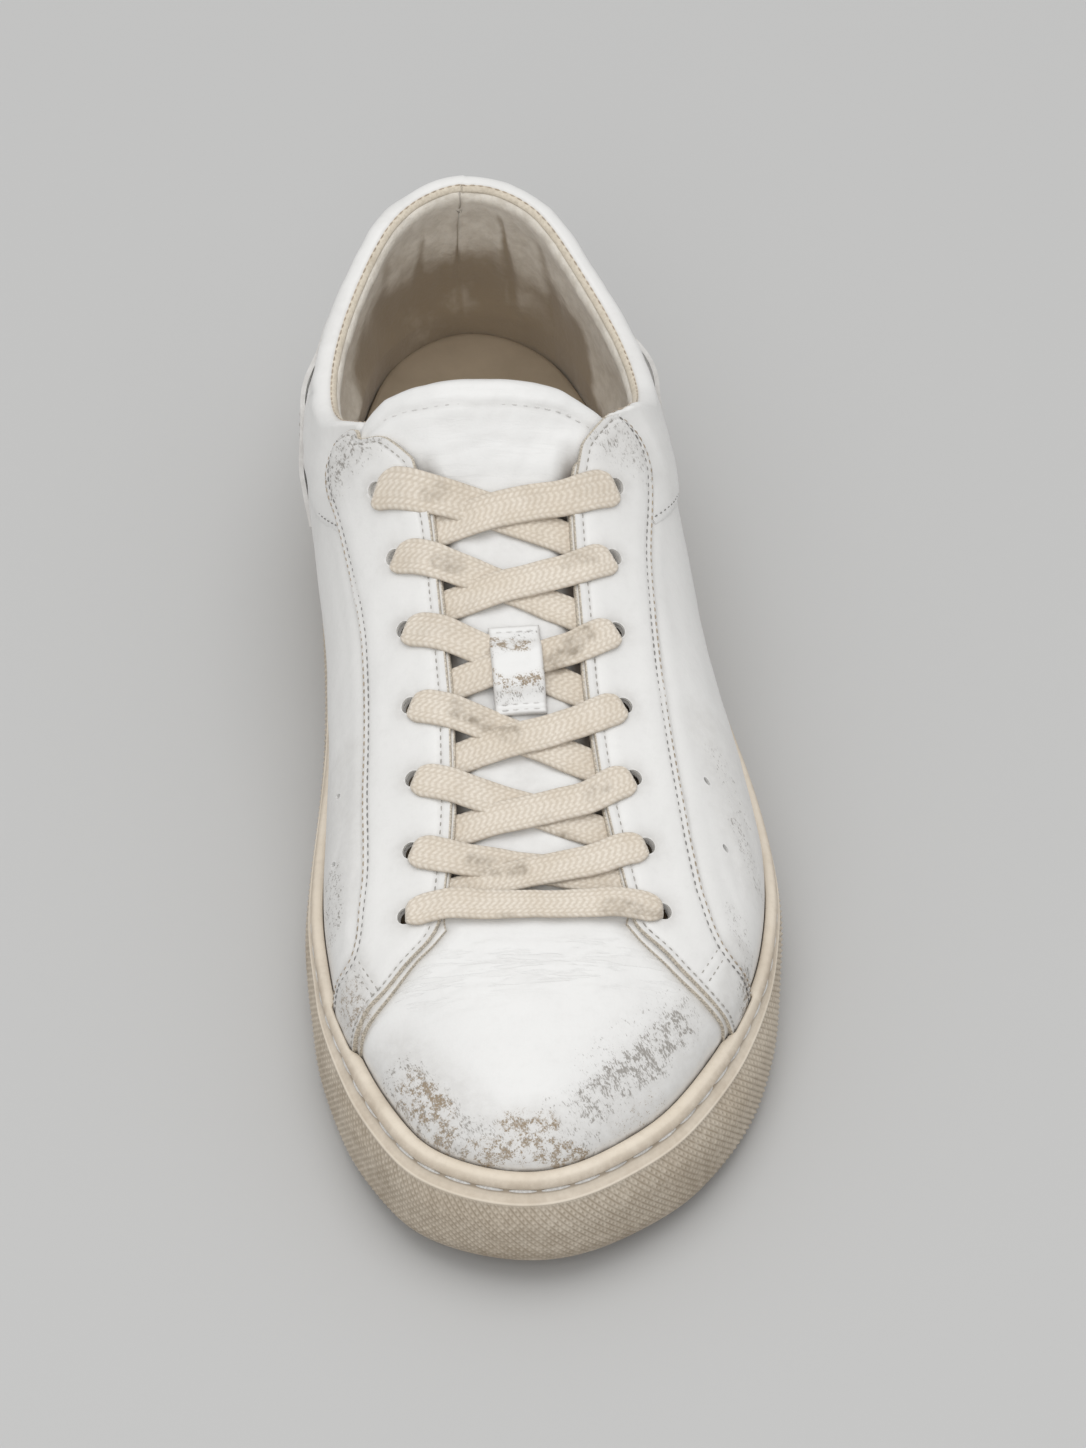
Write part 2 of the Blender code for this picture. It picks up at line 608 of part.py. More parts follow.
def build():
    """Clears the scene and makes every piece."""
    for old in list(bpy.data.objects):
        bpy.data.objects.remove(old)
    make_sole()
    make_insole()
    make_upper()
    make_heel_counter()
    make_tongue()
    make_lace_loop()
    join_runs("laces", lace_runs(), (0.66, 0.6, 0.48), 0.9)


build()
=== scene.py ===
"""The looks of a worn low sneaker for the left foot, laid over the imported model.

Lengths are in millimetres until a mesh is made. A point of the shoe is told by its distance "along" the shoe
from the back of the heel, its "reach" to either side of the ridge over the instep, and its height. Every
panel is drawn over the same last as the solids, so it lies where they do.
"""
import math
from collections import namedtuple

import bpy
import numpy as np
from mathutils import Matrix, Vector


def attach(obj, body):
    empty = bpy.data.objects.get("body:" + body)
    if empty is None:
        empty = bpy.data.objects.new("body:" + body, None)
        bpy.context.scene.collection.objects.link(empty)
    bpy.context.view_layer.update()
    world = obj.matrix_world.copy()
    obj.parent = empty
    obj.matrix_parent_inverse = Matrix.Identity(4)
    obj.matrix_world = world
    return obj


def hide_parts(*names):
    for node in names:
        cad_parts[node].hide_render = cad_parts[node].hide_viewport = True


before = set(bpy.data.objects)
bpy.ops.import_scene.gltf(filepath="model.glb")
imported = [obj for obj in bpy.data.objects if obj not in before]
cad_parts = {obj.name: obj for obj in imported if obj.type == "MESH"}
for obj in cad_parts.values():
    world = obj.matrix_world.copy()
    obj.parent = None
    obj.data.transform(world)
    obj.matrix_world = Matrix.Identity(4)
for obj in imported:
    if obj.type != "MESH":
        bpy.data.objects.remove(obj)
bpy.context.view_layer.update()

MM = 0.001
QUARTER = np.pi / 2
OUTER, INNER = True, False

# ---- The last, as the solids have it.

LENGTH = 298.0
COLLAR_FRONT = 103.0
GAP = 0.3
CUP_WALL_HEEL, CUP_WALL_SIDE, CUP_WALL_TOE = 5.2, 4.3, 7.8
TOE_WALL_START, TOE_WALL_LENGTH = 215.0, 50.0
TOE_SPRING, SPRING_START = 7.0, 222.0
HEEL_BEVEL, HEEL_BEVEL_LENGTH = 1.5, 14.0
ARCH_RISE, ARCH_START, ARCH_END = 1.3, 104.0, 162.0
THROAT_END = 234.0
FLARE_RISE = 20.0
HEEL_PIVOT, TOE_PIVOT, TOE_FAN_START = 46.0, 262.0, 205.0
THROAT_SINK = 1.6


def table(kind, *rows):
    """A table whose columns have the names of a kind of row."""
    return [kind(*row) for row in rows]


Outline = namedtuple("Outline", "along outer inner")
OUTLINE = table(Outline, (14, 19.0, 18.8), (30, 28.5, 28.0), (55, 35.8, 35.0), (85, 40.0, 38.0),
    (115, 44.5, 39.2), (145, 48.0, 41.5), (170, 52.0, 45.0), (203, 54.3, 49.6), (222, 51.8, 49.5),
    (235, 48.2, 48.3), (252, 40.6, 44.3), (262, 34.6, 41.2), (275, 24.6, 35.4), (284, 13.0, 27.8))
HEEL_POINT, TOE_POINT = (5.0, 0.0), (291.2, -7.0)

Section = namedtuple("Section", "along rim crown ridge fullness flare_outer flare_inner")
SECTIONS = table(Section, (0, 31.0, 118.0, 0.0, 2.0, 1.2, 1.2), (40, 30.5, 118.0, -0.8, 2.0, 2.0, 5.4),
    (70, 29.5, 117.0, -1.6, 2.05, 4.8, 8.0), (95, 28.5, 110.0, -1.6, 2.2, 3.8, 7.6),
    (110, 28.0, 101.0, -1.4, 2.4, 2.2, 6.6), (132, 27.0, 86.5, -1.4, 2.3, 1.0, 5.0),
    (150, 26.5, 79.5, -1.4, 2.25, 0.4, 4.0), (172, 26.0, 72.5, -1.4, 2.2, 0.0, 2.0),
    (206, 26.0, 62.0, -1.6, 2.2, 0.0, 0.4), (234, 26.8, 53.5, -2.2, 2.2, 0.0, 0.0),
    (262, 28.8, 46.5, -4.0, 2.3, 0.0, 0.0), (298, 30.5, 40.0, -6.0, 2.3, 0.0, 0.0))

Edge = namedtuple("Edge", "along height")
COLLAR = table(Edge, (0, 81.8), (20, 79.1), (45, 72.0), (68, 68.6), (84, 71.6), (95, 79.1), (103, 86.3),
    (110, 91.6), (118, 100))
UNDER_COLLAR = table(Edge, (0, 60), (60, 58), (80, 56), (95, 60), (110, 67), (122, 74), (136, 84))
COLLAR_FOOT = table(Edge, (0, 55), (60, 52), (80, 50), (95, 54), (110, 61.5), (122, 68.7), (132, 74))
COUNTER_TOP = table(Edge, (0, 60), (30, 63), (58, 62), (68, 54), (79, 43), (88, 37))
CUP_FLOOR = table(Edge, (0, 19.5), (60, 18), (110, 14.5), (160, 12), (222, 12), (260, 14), (298, 19))

Throat = namedtuple("Throat", "along half_gap")
THROAT = table(Throat, (108, 33.5), (113, 25), (120, 19.2), (132, 16.0), (150, 15.5), (180, 15.2),
    (206, 16.7), (220, 18.6), (234, 21.0))

Eyelet = namedtuple("Eyelet", "outer outer_reach inner inner_reach")
EYELETS = table(Eyelet, (234.3, 28.8, 229.9, 29.5), (217.9, 26.2, 213.9, 27.4), (201.1, 24.6, 196.4, 25.6),
    (182.8, 24.1, 177.8, 25.0), (163.4, 24.2, 158.2, 24.8), (144.2, 25.2, 139.1, 25.7),
    (126.6, 27.4, 122.1, 28.7))
LACE_BENDS = table(Eyelet, (221.8, 14.8, 218.9, 18.0), (206.7, 13.7, 201.5, 16.2),
    (187.8, 14.6, 182.9, 15.7), (169.3, 14.6, 164.6, 13.4), (149.6, 15.8, 146.0, 14.1),
    (132.1, 16.0, 129.4, 15.4))

Bar = namedtuple("Bar", "along reach")
LACE_BAR = Bar((229.9, 230.8, 234.5, 234.0, 234.3), (-29.9, -19.4, -1.0, 16.8, 29.2))

Seam = namedtuple("Seam", "along reach")
TONGUE_BRINK = table(Seam, (112, -32.6), (107.5, -32.4), (105.2, -31.6), (104.3, -29), (104, -26),
    (104.9, -21.5), (105.9, -17), (106.6, -11), (107.3, -4), (107.8, 4), (108.3, 11), (108.9, 17),
    (110.2, 21.6), (111.4, 25.2), (112.8, 27.3), (115, 28.3), (119, 28.8))
TongueSink = namedtuple("TongueSink", "along sink")
TONGUE_SINK = table(TongueSink, (105, 0.6), (109, 1.3), (114, 1.5), (125, 0.3), (150, 0), (222, 0),
    (234, 0.5), (246, 0.6))


def column(rows, name):
    """One named column of a table, with the column of distances along."""
    return np.array([row.along for row in rows], float), np.array([getattr(row, name) for row in rows], float)


def spline(x, knots, values):
    """Natural cubic spline through the knots."""
    knots, values = np.asarray(knots, float), np.asarray(values, float)
    n, step = len(knots), np.diff(knots)
    matrix, right = np.eye(n), np.zeros(n)
    for i in range(1, n - 1):
        matrix[i, i - 1:i + 2] = step[i - 1], 2 * (step[i - 1] + step[i]), step[i]
        right[i] = 6 * ((values[i + 1] - values[i]) / step[i] - (values[i] - values[i - 1]) / step[i - 1])
    bend = np.linalg.solve(matrix, right)
    x = np.asarray(x, float)
    i = np.clip(np.searchsorted(knots, x) - 1, 0, n - 2)
    ahead, behind, h = knots[i + 1] - x, x - knots[i], step[i]
    return ((bend[i] * ahead ** 3 + bend[i + 1] * behind ** 3) / (6 * h)
            + (values[i] / h - bend[i] * h / 6) * ahead + (values[i + 1] / h - bend[i + 1] * h / 6) * behind)


def smooth(rows, name, along):
    return spline(along, *column(rows, name))


def straight(rows, name, along):
    return np.interp(along, *column(rows, name))


def ease(share):
    """A soft step from 0 to 1."""
    share = np.clip(share, 0, 1)
    return share * share * (3 - 2 * share)


def evenly(count):
    """Shares from 0 to 1."""
    return np.linspace(0, 1, count)


def unit(vectors):
    return vectors / np.linalg.norm(vectors, axis=-1, keepdims=True)


def run_along(points):
    """The running length at each point of a line."""
    return np.concatenate([[0], np.cumsum(np.linalg.norm(np.diff(points, axis=0), axis=1))])


def bell(distance, width):
    """A soft hump of 1 that has died away a few widths off."""
    return np.exp(-(distance / width) ** 2)


def closed_outline(count=2880):
    """The upper's outline at the rim as (x, along) points, from the back of the heel round the outer side."""
    ring = [HEEL_POINT[::-1]] + [(row.outer, row.along) for row in OUTLINE]
    ring += [TOE_POINT[::-1]] + [(-row.inner, row.along) for row in reversed(OUTLINE)]
    points = np.array(ring * 3, float)
    apart = np.sqrt(np.linalg.norm(np.diff(points, axis=0), axis=1))
    knots = np.concatenate([[0], np.cumsum(apart)])
    n = len(ring)
    place = np.linspace(knots[n], knots[2 * n], count, endpoint=False)
    points = np.stack([spline(place, knots, points[:, axis]) for axis in (0, 1)], 1)
    return np.roll(points, -int(np.argmin(points[:, 1])), axis=0)


RING = closed_outline()
RING_PLACE = np.linspace(0, 1, len(RING), endpoint=False)
TOE_INDEX = int(np.argmax(RING[:, 1]))
TOE_PLACE = RING_PLACE[TOE_INDEX]


def on_ring(place):
    """(x, along) at a place round the outline, 0 at the heel and back to 1."""
    return np.stack([np.interp(np.mod(place, 1), RING_PLACE, RING[:, axis], period=1) for axis in (0, 1)], -1)


def ring_normal(place, step=0.004):
    """The outward normal in plan, as (x, along)."""
    run = on_ring(place + step) - on_ring(place - step)
    return unit(np.stack([run[..., 1], -run[..., 0]], -1))


def place_of(along, outer):
    """The place round the outline of the station at this distance along, on one side."""
    along = np.clip(along, RING[0, 1], RING[TOE_INDEX, 1])
    if outer:
        return np.interp(along, RING[:TOE_INDEX + 1, 1], RING_PLACE[:TOE_INDEX + 1])
    back = RING[TOE_INDEX:][::-1]
    return np.interp(along, np.append(RING[0, 1], back[:, 1]), np.append(1.0, RING_PLACE[TOE_INDEX:][::-1]))


def on_outer(place):
    return np.mod(place, 1) < TOE_PLACE


def station_of(place):
    return on_ring(place)[..., 1]


def soft_ramp(x, width):
    """Zero below 0 and x above it, with the corner rounded over the width."""
    return width * np.logaddexp(0, x / width)


def ridge_along(along):
    """Where on the ridge the section that starts at this station ends: sections fan at the heel and the toe."""
    toe = RING[TOE_INDEX, 1]
    share = np.clip((along - TOE_FAN_START) / (toe - TOE_FAN_START), 0, 1)
    span, reach, end_slope = toe - TOE_FAN_START, TOE_PIVOT - TOE_FAN_START, 0.15
    fanned = (TOE_FAN_START + (share ** 3 - 2 * share ** 2 + share) * span
              + (3 - 2 * share) * share ** 2 * reach + (share ** 3 - share ** 2) * end_slope * span)
    return np.where(along > TOE_FAN_START, fanned, along + soft_ramp(HEEL_PIVOT - along, 10.0))


def flare_of(place, along):
    """How far the wall leans out above the rim, before it turns in."""
    outer, inner = (smooth(SECTIONS, name, along) for name in ("flare_outer", "flare_inner"))
    return np.maximum(np.where(on_outer(place), outer, inner), 0)


def crown_slope(along):
    return (smooth(SECTIONS, "crown", along + 1) - smooth(SECTIONS, "crown", along - 1)) / 2


def bare_last(place, sweep):
    """A point of the last's surface, as (x, along, z)."""
    start = on_ring(place)
    along = start[..., 1]
    there = ridge_along(along)
    end = np.stack([smooth(SECTIONS, "ridge", there), there], -1)
    power = 2 / smooth(SECTIONS, "fullness", there)
    inward = 1 - np.cos(sweep) ** power
    rim = smooth(SECTIONS, "rim", along)
    z = rim + (smooth(SECTIONS, "crown", there) - rim) * np.sin(sweep) ** power
    lean = np.clip((z - rim) / FLARE_RISE, 0, 1)
    out = flare_of(place, along) * lean * (2 - lean) * (1 - inward)
    plan = start + (end - start) * inward[..., None] + ring_normal(place) * out[..., None]
    fall = crown_slope(there) * np.maximum(plan[..., 1] - there, 0) * np.sin(sweep) ** power
    return np.concatenate([plan, (z + fall)[..., None]], -1)


def last_frame(place, sweep):
    """A point of the last with its outward normal and its direction up the wall."""
    place, sweep = np.broadcast_arrays(np.asarray(place, float), np.asarray(sweep, float))
    point = bare_last(place, np.maximum(sweep, 0))
    near = np.clip(sweep, 0.02, QUARTER - 0.02)
    round_it = bare_last(place + 0.002, near) - bare_last(place - 0.002, near)
    up_it = bare_last(place, near + 0.01) - bare_last(place, near - 0.01)
    slope = crown_slope(point[..., 1])
    on_ridge = unit(np.stack([0 * slope, -slope, 1 + 0 * slope], -1))
    level = ease((sweep - (QUARTER - 0.12)) / 0.12)[..., None]
    normal = unit(np.cross(round_it, up_it)) * (1 - level) + on_ridge * level
    return point, unit(normal), unit(up_it)


def last(place, sweep, depth=0.0):
    """A point under (or, with a negative depth, over) the last's surface, as (x, along, z)."""
    point, normal, _ = last_frame(place, sweep)
    return point - normal * np.broadcast_to(depth, point.shape[:-1])[..., None]


def sweep_at_height(place, height):
    """The sweep at which the last reaches this height."""
    along = station_of(place)
    rim = smooth(SECTIONS, "rim", along)
    there = ridge_along(along)
    share = np.clip((height - rim) / (smooth(SECTIONS, "crown", there) - rim), 0, 1)
    return np.arcsin(share ** (smooth(SECTIONS, "fullness", there) / 2))


def sweep_at_reach(place, reach):
    """The sweep at which the last is this far from the ridge."""
    start = on_ring(place)
    there = ridge_along(start[..., 1])
    half = np.abs(start[..., 0] - smooth(SECTIONS, "ridge", there)) + flare_of(place, start[..., 1])
    return np.arccos(np.clip(reach / half, 0, 1) ** (smooth(SECTIONS, "fullness", there) / 2))


def cup_wall(along):
    """How far the sole's side stands out from the upper."""
    heel = CUP_WALL_SIDE + (CUP_WALL_HEEL - CUP_WALL_SIDE) * np.clip(1 - along / 60, 0, 1)
    return heel + (CUP_WALL_TOE - CUP_WALL_SIDE) * ease((along - TOE_WALL_START) / TOE_WALL_LENGTH)


def ground(along):
    """Height of the sole's underside: level under heel and forefoot, raised at the arch and at either end."""
    spring = TOE_SPRING * np.clip((along - SPRING_START) / (LENGTH - SPRING_START), 0, 1) ** 2
    bevel = HEEL_BEVEL * np.clip(1 - along / HEEL_BEVEL_LENGTH, 0, 1) ** 2
    arch = ARCH_RISE * np.sin(np.pi * np.clip((along - ARCH_START) / (ARCH_END - ARCH_START), 0, 1)) ** 2
    return spring + bevel + arch


def cup_floor(along):
    return smooth(CUP_FLOOR, "height", along)


def sole_edge():
    return RING + ring_normal(RING_PLACE) * cup_wall(RING[:, 1])[:, None]


CENTRE = (sole_edge().min(axis=0) + sole_edge().max(axis=0)) / 2


def to_world(points):
    """From (x, along, z) in millimetres to metres, with the shoe's box centred on the origin."""
    points = np.asarray(points, float)
    return np.stack([points[..., 0] - CENTRE[0], CENTRE[1] - points[..., 1], points[..., 2]], -1) * MM


def across(along, reach, depth=0.0):
    """A point at a signed distance from the ridge, on the section at this distance along. Between the facings
    the surface sinks towards the middle, held down by the lace."""
    along, reach, depth = np.broadcast_arrays(np.asarray(along, float), reach, depth)
    gap = straight(THROAT, "half_gap", along)
    depth = depth + THROAT_SINK * np.clip(1 - (reach / gap) ** 2, 0, 1)
    place = np.where(reach > 0, place_of(along, OUTER), place_of(along, INNER))
    return last(place, sweep_at_reach(place, np.abs(reach)), depth)


# ---- Modelling by hand: a primitive is added, pulled into shape and finished with modifiers.

def deselect():
    bpy.ops.object.select_all(action="DESELECT")


def pick_only(piece):
    deselect()
    piece.select_set(True)
    bpy.context.view_layer.objects.active = piece


def new_sheet(name, points):
    """A grid pulled to the points, given row by row in millimetres as (x, along, z)."""
    rows, columns = points.shape[:2]
    deselect()
    bpy.ops.mesh.primitive_grid_add(x_subdivisions=columns - 1, y_subdivisions=rows - 1, size=0.1)
    piece = bpy.context.object
    piece.name = piece.data.name = name
    piece.data.vertices.foreach_set("co", to_world(points).astype(np.float32).ravel())
    piece.data.update()
    return piece


def edit(piece, *steps):
    """Runs operators of edit mode on all of a piece."""
    pick_only(piece)
    bpy.ops.object.mode_set(mode="EDIT")
    bpy.ops.mesh.select_mode(type="VERT")
    bpy.ops.mesh.select_all(action="SELECT")
    for step, settings in steps:
        step(**settings)
    bpy.ops.object.mode_set(mode="OBJECT")


MERGE = (bpy.ops.mesh.remove_doubles, {"threshold": 2e-6})
FACE_OUT = (bpy.ops.mesh.normals_make_consistent, {"inside": False})
FLIP = (bpy.ops.mesh.flip_normals, {})
PICK_NONE = (bpy.ops.mesh.select_all, {"action": "DESELECT"})
PICK_OPEN_EDGES = (bpy.ops.mesh.select_non_manifold, {})
CLOSE_ENDS = (bpy.ops.mesh.fill_holes, {"sides": 0})


def apply(piece, kind, **settings):
    pick_only(piece)
    modifier = piece.modifiers.new(kind.lower(), kind)
    for name, value in settings.items():
        setattr(modifier, name, value)
    bpy.ops.object.modifier_apply(modifier=modifier.name)


def mark(piece, **values):
    """Stores a number for each vertex under a name, for the materials to read."""
    for name, value in values.items():
        layer = piece.data.attributes.new(name, "FLOAT", "POINT")
        layer.data.foreach_set("value", np.asarray(value, np.float32).ravel())


def dress(piece, node, *materials):
    """Gives a piece its materials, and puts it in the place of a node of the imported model."""
    for material in materials:
        piece.data.materials.append(material)
    piece.data.shade_smooth()
    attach(piece, "root")
    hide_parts(node)
    return piece


def face_along(piece, points, outward):
    """Turns a sheet over if its grid of points winds against the outward directions."""
    run = points[1:-1, 2:] - points[1:-1, :-2]
    rise = points[2:, 1:-1] - points[:-2, 1:-1]
    # the world's along axis is turned round, which swaps the hand of the grid
    if (np.cross(run, rise) * outward[1:-1, 1:-1]).sum() > 0:
        edit(piece, FLIP)


def smooth_faces(piece, keep_sharp):
    """Smooth shading, but for the edges of a panel."""
    pick_only(piece)
    bpy.ops.object.shade_smooth_by_angle(angle=math.radians(48), keep_sharp_edges=keep_sharp)


def leather_panel(name, points, outward, thick, marks, leather, node="upper"):
    """A piece of leather of real thickness under the points of its face."""
    piece = new_sheet(name, points)
    mark(piece, **marks)
    edit(piece, MERGE)
    face_along(piece, points, outward)
    apply(piece, "SOLIDIFY", thickness=thick * MM, offset=-1, use_even_offset=False, use_rim=True,
          material_offset=1, material_offset_rim=2)
    dress(piece, node, leather, flesh_side(), raw_edge())
    smooth_faces(piece, True)
    return piece


def to_world_direction(direction):
    return np.stack([direction[..., 0], -direction[..., 1], direction[..., 2]], -1)


# ---- Materials.

def add(tree, kind, settings=None, **inputs):
    """A shader node; an input's name is written with _ for a space, and i0, i1 and so on name it by number."""
    node = tree.nodes.new("ShaderNode" + kind)
    for name, value in (settings or {}).items():
        setattr(node, name, value)
    for name, value in inputs.items():
        socket = node.inputs[int(name[1:])] if name[1:].isdigit() else node.inputs[name.replace("_", " ")]
        if isinstance(value, bpy.types.NodeSocket):
            tree.links.new(value, socket)
        else:
            socket.default_value = value
    return node


class Finish:
    """A material in the making: a Principled shader and the nodes that feed it."""

    def __init__(self, name, roughness, **sockets):
        self.material = bpy.data.materials.new(name)
        self.material.use_nodes = True
        self.tree = self.material.node_tree
        self.shader = self.tree.nodes["Principled BSDF"]
        self.place = add(self.tree, "TexCoord").outputs["Object"]
        self.shader.inputs["Roughness"].default_value = roughness
        for socket, value in sockets.items():
            self.shader.inputs[socket.replace("_", " ")].default_value = value

    def drawn_out(self, length, turn):
        """The place, for a pattern drawn out by a factor and turned in plan by some degrees."""
        node = add(self.tree, "Mapping", {"vector_type": "TEXTURE"}, Vector=self.place)
        node.inputs["Scale"].default_value = (1, length, length)
        node.inputs["Rotation"].default_value = (0, 0, math.radians(turn))
        return node.outputs[0]

    def noise(self, scale, detail=3.0, rough=0.5, place=None):
        return add(self.tree, "TexNoise", Vector=place or self.place, Scale=scale, Detail=detail,
                   Roughness=rough).outputs["Fac"]

    def cells(self, scale):
        return add(self.tree, "TexVoronoi", Vector=self.place, Scale=scale).outputs["Distance"]

    def attribute(self, name):
        return add(self.tree, "Attribute", {"attribute_name": name}).outputs["Fac"]

    def ramp(self, value, low, high, to_low=0.0, to_high=1.0):
        return add(self.tree, "MapRange", {"interpolation_type": "SMOOTHSTEP"}, Value=value, From_Min=low,
                   From_Max=high, To_Min=to_low, To_Max=to_high).outputs[0]

    def maths(self, operation, first, second):
        return add(self.tree, "Math", {"operation": operation}, i0=first, i1=second).outputs[0]

    def times(self, first, second):
        return self.maths("MULTIPLY", first, second)

    def blend(self, share, first, second):
        node = add(self.tree, "Mix", {"data_type": "RGBA"}, i0=share)
        for index, value in ((6, first), (7, second)):
            if isinstance(value, bpy.types.NodeSocket):
                self.tree.links.new(value, node.inputs[index])
            else:
                node.inputs[index].default_value = (*value, 1)
        return node.outputs[2]

    def tint(self, colour):
        self.tree.links.new(colour, self.shader.inputs["Base Color"])

    def gloss(self, roughness):
        self.tree.links.new(roughness, self.shader.inputs["Roughness"])

    def relief(self, *layers):
        """Bumps laid over each other: (height, strength, distance in millimetres) for each."""
        normal = None
        for height, strength, distance in layers:
            bump = add(self.tree, "Bump", Height=height, Strength=strength, Distance=distance * MM)
            if normal:
                self.tree.links.new(normal, bump.inputs["Normal"])
            normal = bump.outputs[0]
        self.tree.links.new(normal, self.shader.inputs["Normal"])


WHITE_LEATHER = (0.825, 0.82, 0.805)
# The same white leather, painted a little lighter for the side panels to make up for the light they lack.
SIDE_WHITE_PAINTED_LIGHTER = (0.835, 0.828, 0.81)
GREY_SCUFF = (0.30, 0.28, 0.255)
BROWN_SCUFF = (0.31, 0.235, 0.155)
# The tone of soiling, and also of painted shade in wrinkles and beside the edges of overlays.
GRIME_AND_SHADE = (0.40, 0.375, 0.345)
TAN_EDGE = (0.69, 0.62, 0.515)
DEEP_SHADE = (0.13, 0.10, 0.075)


def white_leather(name, base=WHITE_LEATHER):
    """Smooth coated leather, off-white, with fine wrinkles that are painted a little darker as shade, and with
    soiling, scuff marks and painted shade where they are marked.
    """
    finish = Finish(name, 0.42, Coat_Weight=0.06, Coat_Roughness=0.3)
    cloud = finish.noise(38, 4, 0.6)
    fine = finish.noise(420, 6, 0.62)
    strokes = finish.noise(3000, 3, 0.6, finish.drawn_out(3.0, 27))
    dots = finish.noise(2300, 4, 0.65)
    patches = finish.noise(480, 5, 0.66)
    colour = finish.blend(finish.ramp(cloud, 0.35, 0.75), base, tuple(part * 0.965 for part in base))
    film = finish.times(finish.ramp(fine, 0.45, 0.8), 0.06)
    colour = finish.blend(film, colour, GRIME_AND_SHADE)
    # Darker where marked: soiling at the rim, round the eyelets and elsewhere, and painted shade along
    # overlays' edges, on the tongue's flanks and where the toe turns down.
    grime = finish.times(finish.attribute("grime"), finish.ramp(fine, 0.2, 0.65, 0.45, 1.0))
    colour = finish.blend(grime, colour, GRIME_AND_SHADE)
    worn = grime
    for mark_name, pattern, tone in (("scuff_grey", strokes, GREY_SCUFF), ("scuff_brown", dots, BROWN_SCUFF)):
        share = finish.attribute(mark_name)
        local = finish.times(share, finish.ramp(patches, 0.38, 0.62, 0.35, 1.55))
        darkened = finish.maths("ADD", pattern, finish.times(local, 0.40))
        bare = finish.times(finish.ramp(darkened, 0.66, 0.86), finish.ramp(share, 0.03, 0.15))
        colour = finish.blend(finish.times(local, 0.14), colour, tone)
        colour = finish.blend(finish.times(bare, 0.90), colour, tone)
        worn = finish.maths("MAXIMUM", worn, bare)
    fibre = finish.blend(finish.ramp(dots, 0.4, 0.6), TAN_EDGE, tuple(part * 0.55 for part in TAN_EDGE))
    colour = finish.blend(finish.ramp(finish.attribute("cut"), 0.30, 0.55), colour, fibre)
    fold = finish.noise(640, 4, 0.55, finish.drawn_out(9, 86))
    folds = finish.times(finish.ramp(fold, 0.50, 0.60), finish.attribute("flex"))
    # Painted shade: the wrinkles are drawn a little darker.
    colour = finish.blend(finish.times(folds, 0.05), colour, GRIME_AND_SHADE)
    # Painted shade, deep where the tongue lies under the facings' edges.
    finish.tint(finish.blend(finish.attribute("shade"), colour, DEEP_SHADE))
    finish.gloss(finish.ramp(worn, 0.0, 1.0, 0.40, 0.78))
    wrinkles = finish.times(folds, -1.0)
    finish.relief((finish.noise(170, 5, 0.55), 0.22, 0.5), (fine, 0.22, 0.22), (wrinkles, 0.55, 0.18),
                  (finish.cells(1500), 0.16, 0.10))
    return finish.material


def raw_edge():
    """The cut edge of leather, tan and fibrous."""
    finish = Finish("raw_leather_edge", 0.85)
    fibre = finish.noise(900, 4, 0.7)
    colour = finish.blend(finish.ramp(fibre, 0.35, 0.7), TAN_EDGE, (0.76, 0.68, 0.56))
    finish.tint(finish.blend(finish.ramp(finish.noise(120), 0.5, 0.75), colour, (0.44, 0.36, 0.27)))
    finish.relief((fibre, 0.5, 0.2))
    return finish.material


def flesh_side():
    """The inside face of the leather, which hardly shows."""
    finish = Finish("leather_flesh_side", 0.9)
    nap = finish.noise(700, 5, 0.7)
    finish.tint(finish.blend(finish.ramp(nap, 0.3, 0.7), (0.34, 0.30, 0.26), (0.44, 0.40, 0.34)))
    finish.relief((nap, 0.5, 0.2))
    return finish.material


def thread(name, first, second):
    """Twisted thread, darker where it is grimy."""
    finish = Finish(name, 0.8, Sheen_Weight=0.2)
    twist = finish.noise(1500, 3, 0.6)
    colour = finish.blend(finish.ramp(twist, 0.35, 0.7), first, second)
    finish.tint(finish.blend(finish.ramp(finish.noise(70, 3), 0.5, 0.75, 0, 0.5), colour, (0.20, 0.18, 0.15)))
    finish.relief((twist, 0.6, 0.15))
    return finish.material


def collar_lining_cloth():
    """Napped lining, light grey-beige at the top, darker and brown lower down, and darker in the pleats as
    painted shade.
    """
    finish = Finish("collar_lining_nap", 0.95, Sheen_Weight=0.35, Sheen_Roughness=0.6)
    nap = finish.noise(1100, 5, 0.7)
    tufts = finish.noise(300, 4, 0.65)
    cloud = finish.noise(70, 4, 0.6)
    colour = finish.blend(finish.ramp(tufts, 0.35, 0.65), (0.93, 0.875, 0.785), (0.78, 0.72, 0.625))
    colour = finish.blend(finish.times(finish.ramp(nap, 0.4, 0.7), 0.35), colour, (0.84, 0.80, 0.73))
    # Darker lower down, and painted shade in the pleats, where marked.
    darkened = finish.maths("ADD", finish.attribute("grime"), finish.ramp(cloud, 0.3, 0.7, -0.22, 0.22))
    finish.tint(finish.blend(finish.ramp(darkened, 0.12, 0.9), colour, (0.38, 0.30, 0.205)))
    finish.relief((cloud, 0.15, 0.6), (tufts, 0.45, 0.7), (nap, 0.55, 0.25))
    return finish.material


def binding_cloth():
    """The smooth beige edge of the lining, turned over the top of the collar."""
    finish = Finish("collar_binding", 0.8, Sheen_Weight=0.2)
    weave = finish.noise(1300, 3, 0.6)
    colour = finish.blend(finish.ramp(weave, 0.35, 0.7), (0.74, 0.665, 0.55), (0.63, 0.56, 0.45))
    finish.tint(finish.blend(finish.ramp(finish.noise(90, 3), 0.5, 0.8, 0, 0.5), colour, (0.42, 0.35, 0.26)))
    finish.relief((weave, 0.35, 0.2))
    return finish.material


def insole_leather():
    finish = Finish("insole_leather", 0.75)
    cloud = finish.noise(40, 4, 0.6)
    colour = finish.blend(finish.ramp(cloud, 0.3, 0.75), (0.46, 0.375, 0.275), (0.37, 0.30, 0.215))
    finish.tint(colour)
    finish.relief((finish.noise(800, 4), 0.3, 0.2))
    return finish.material


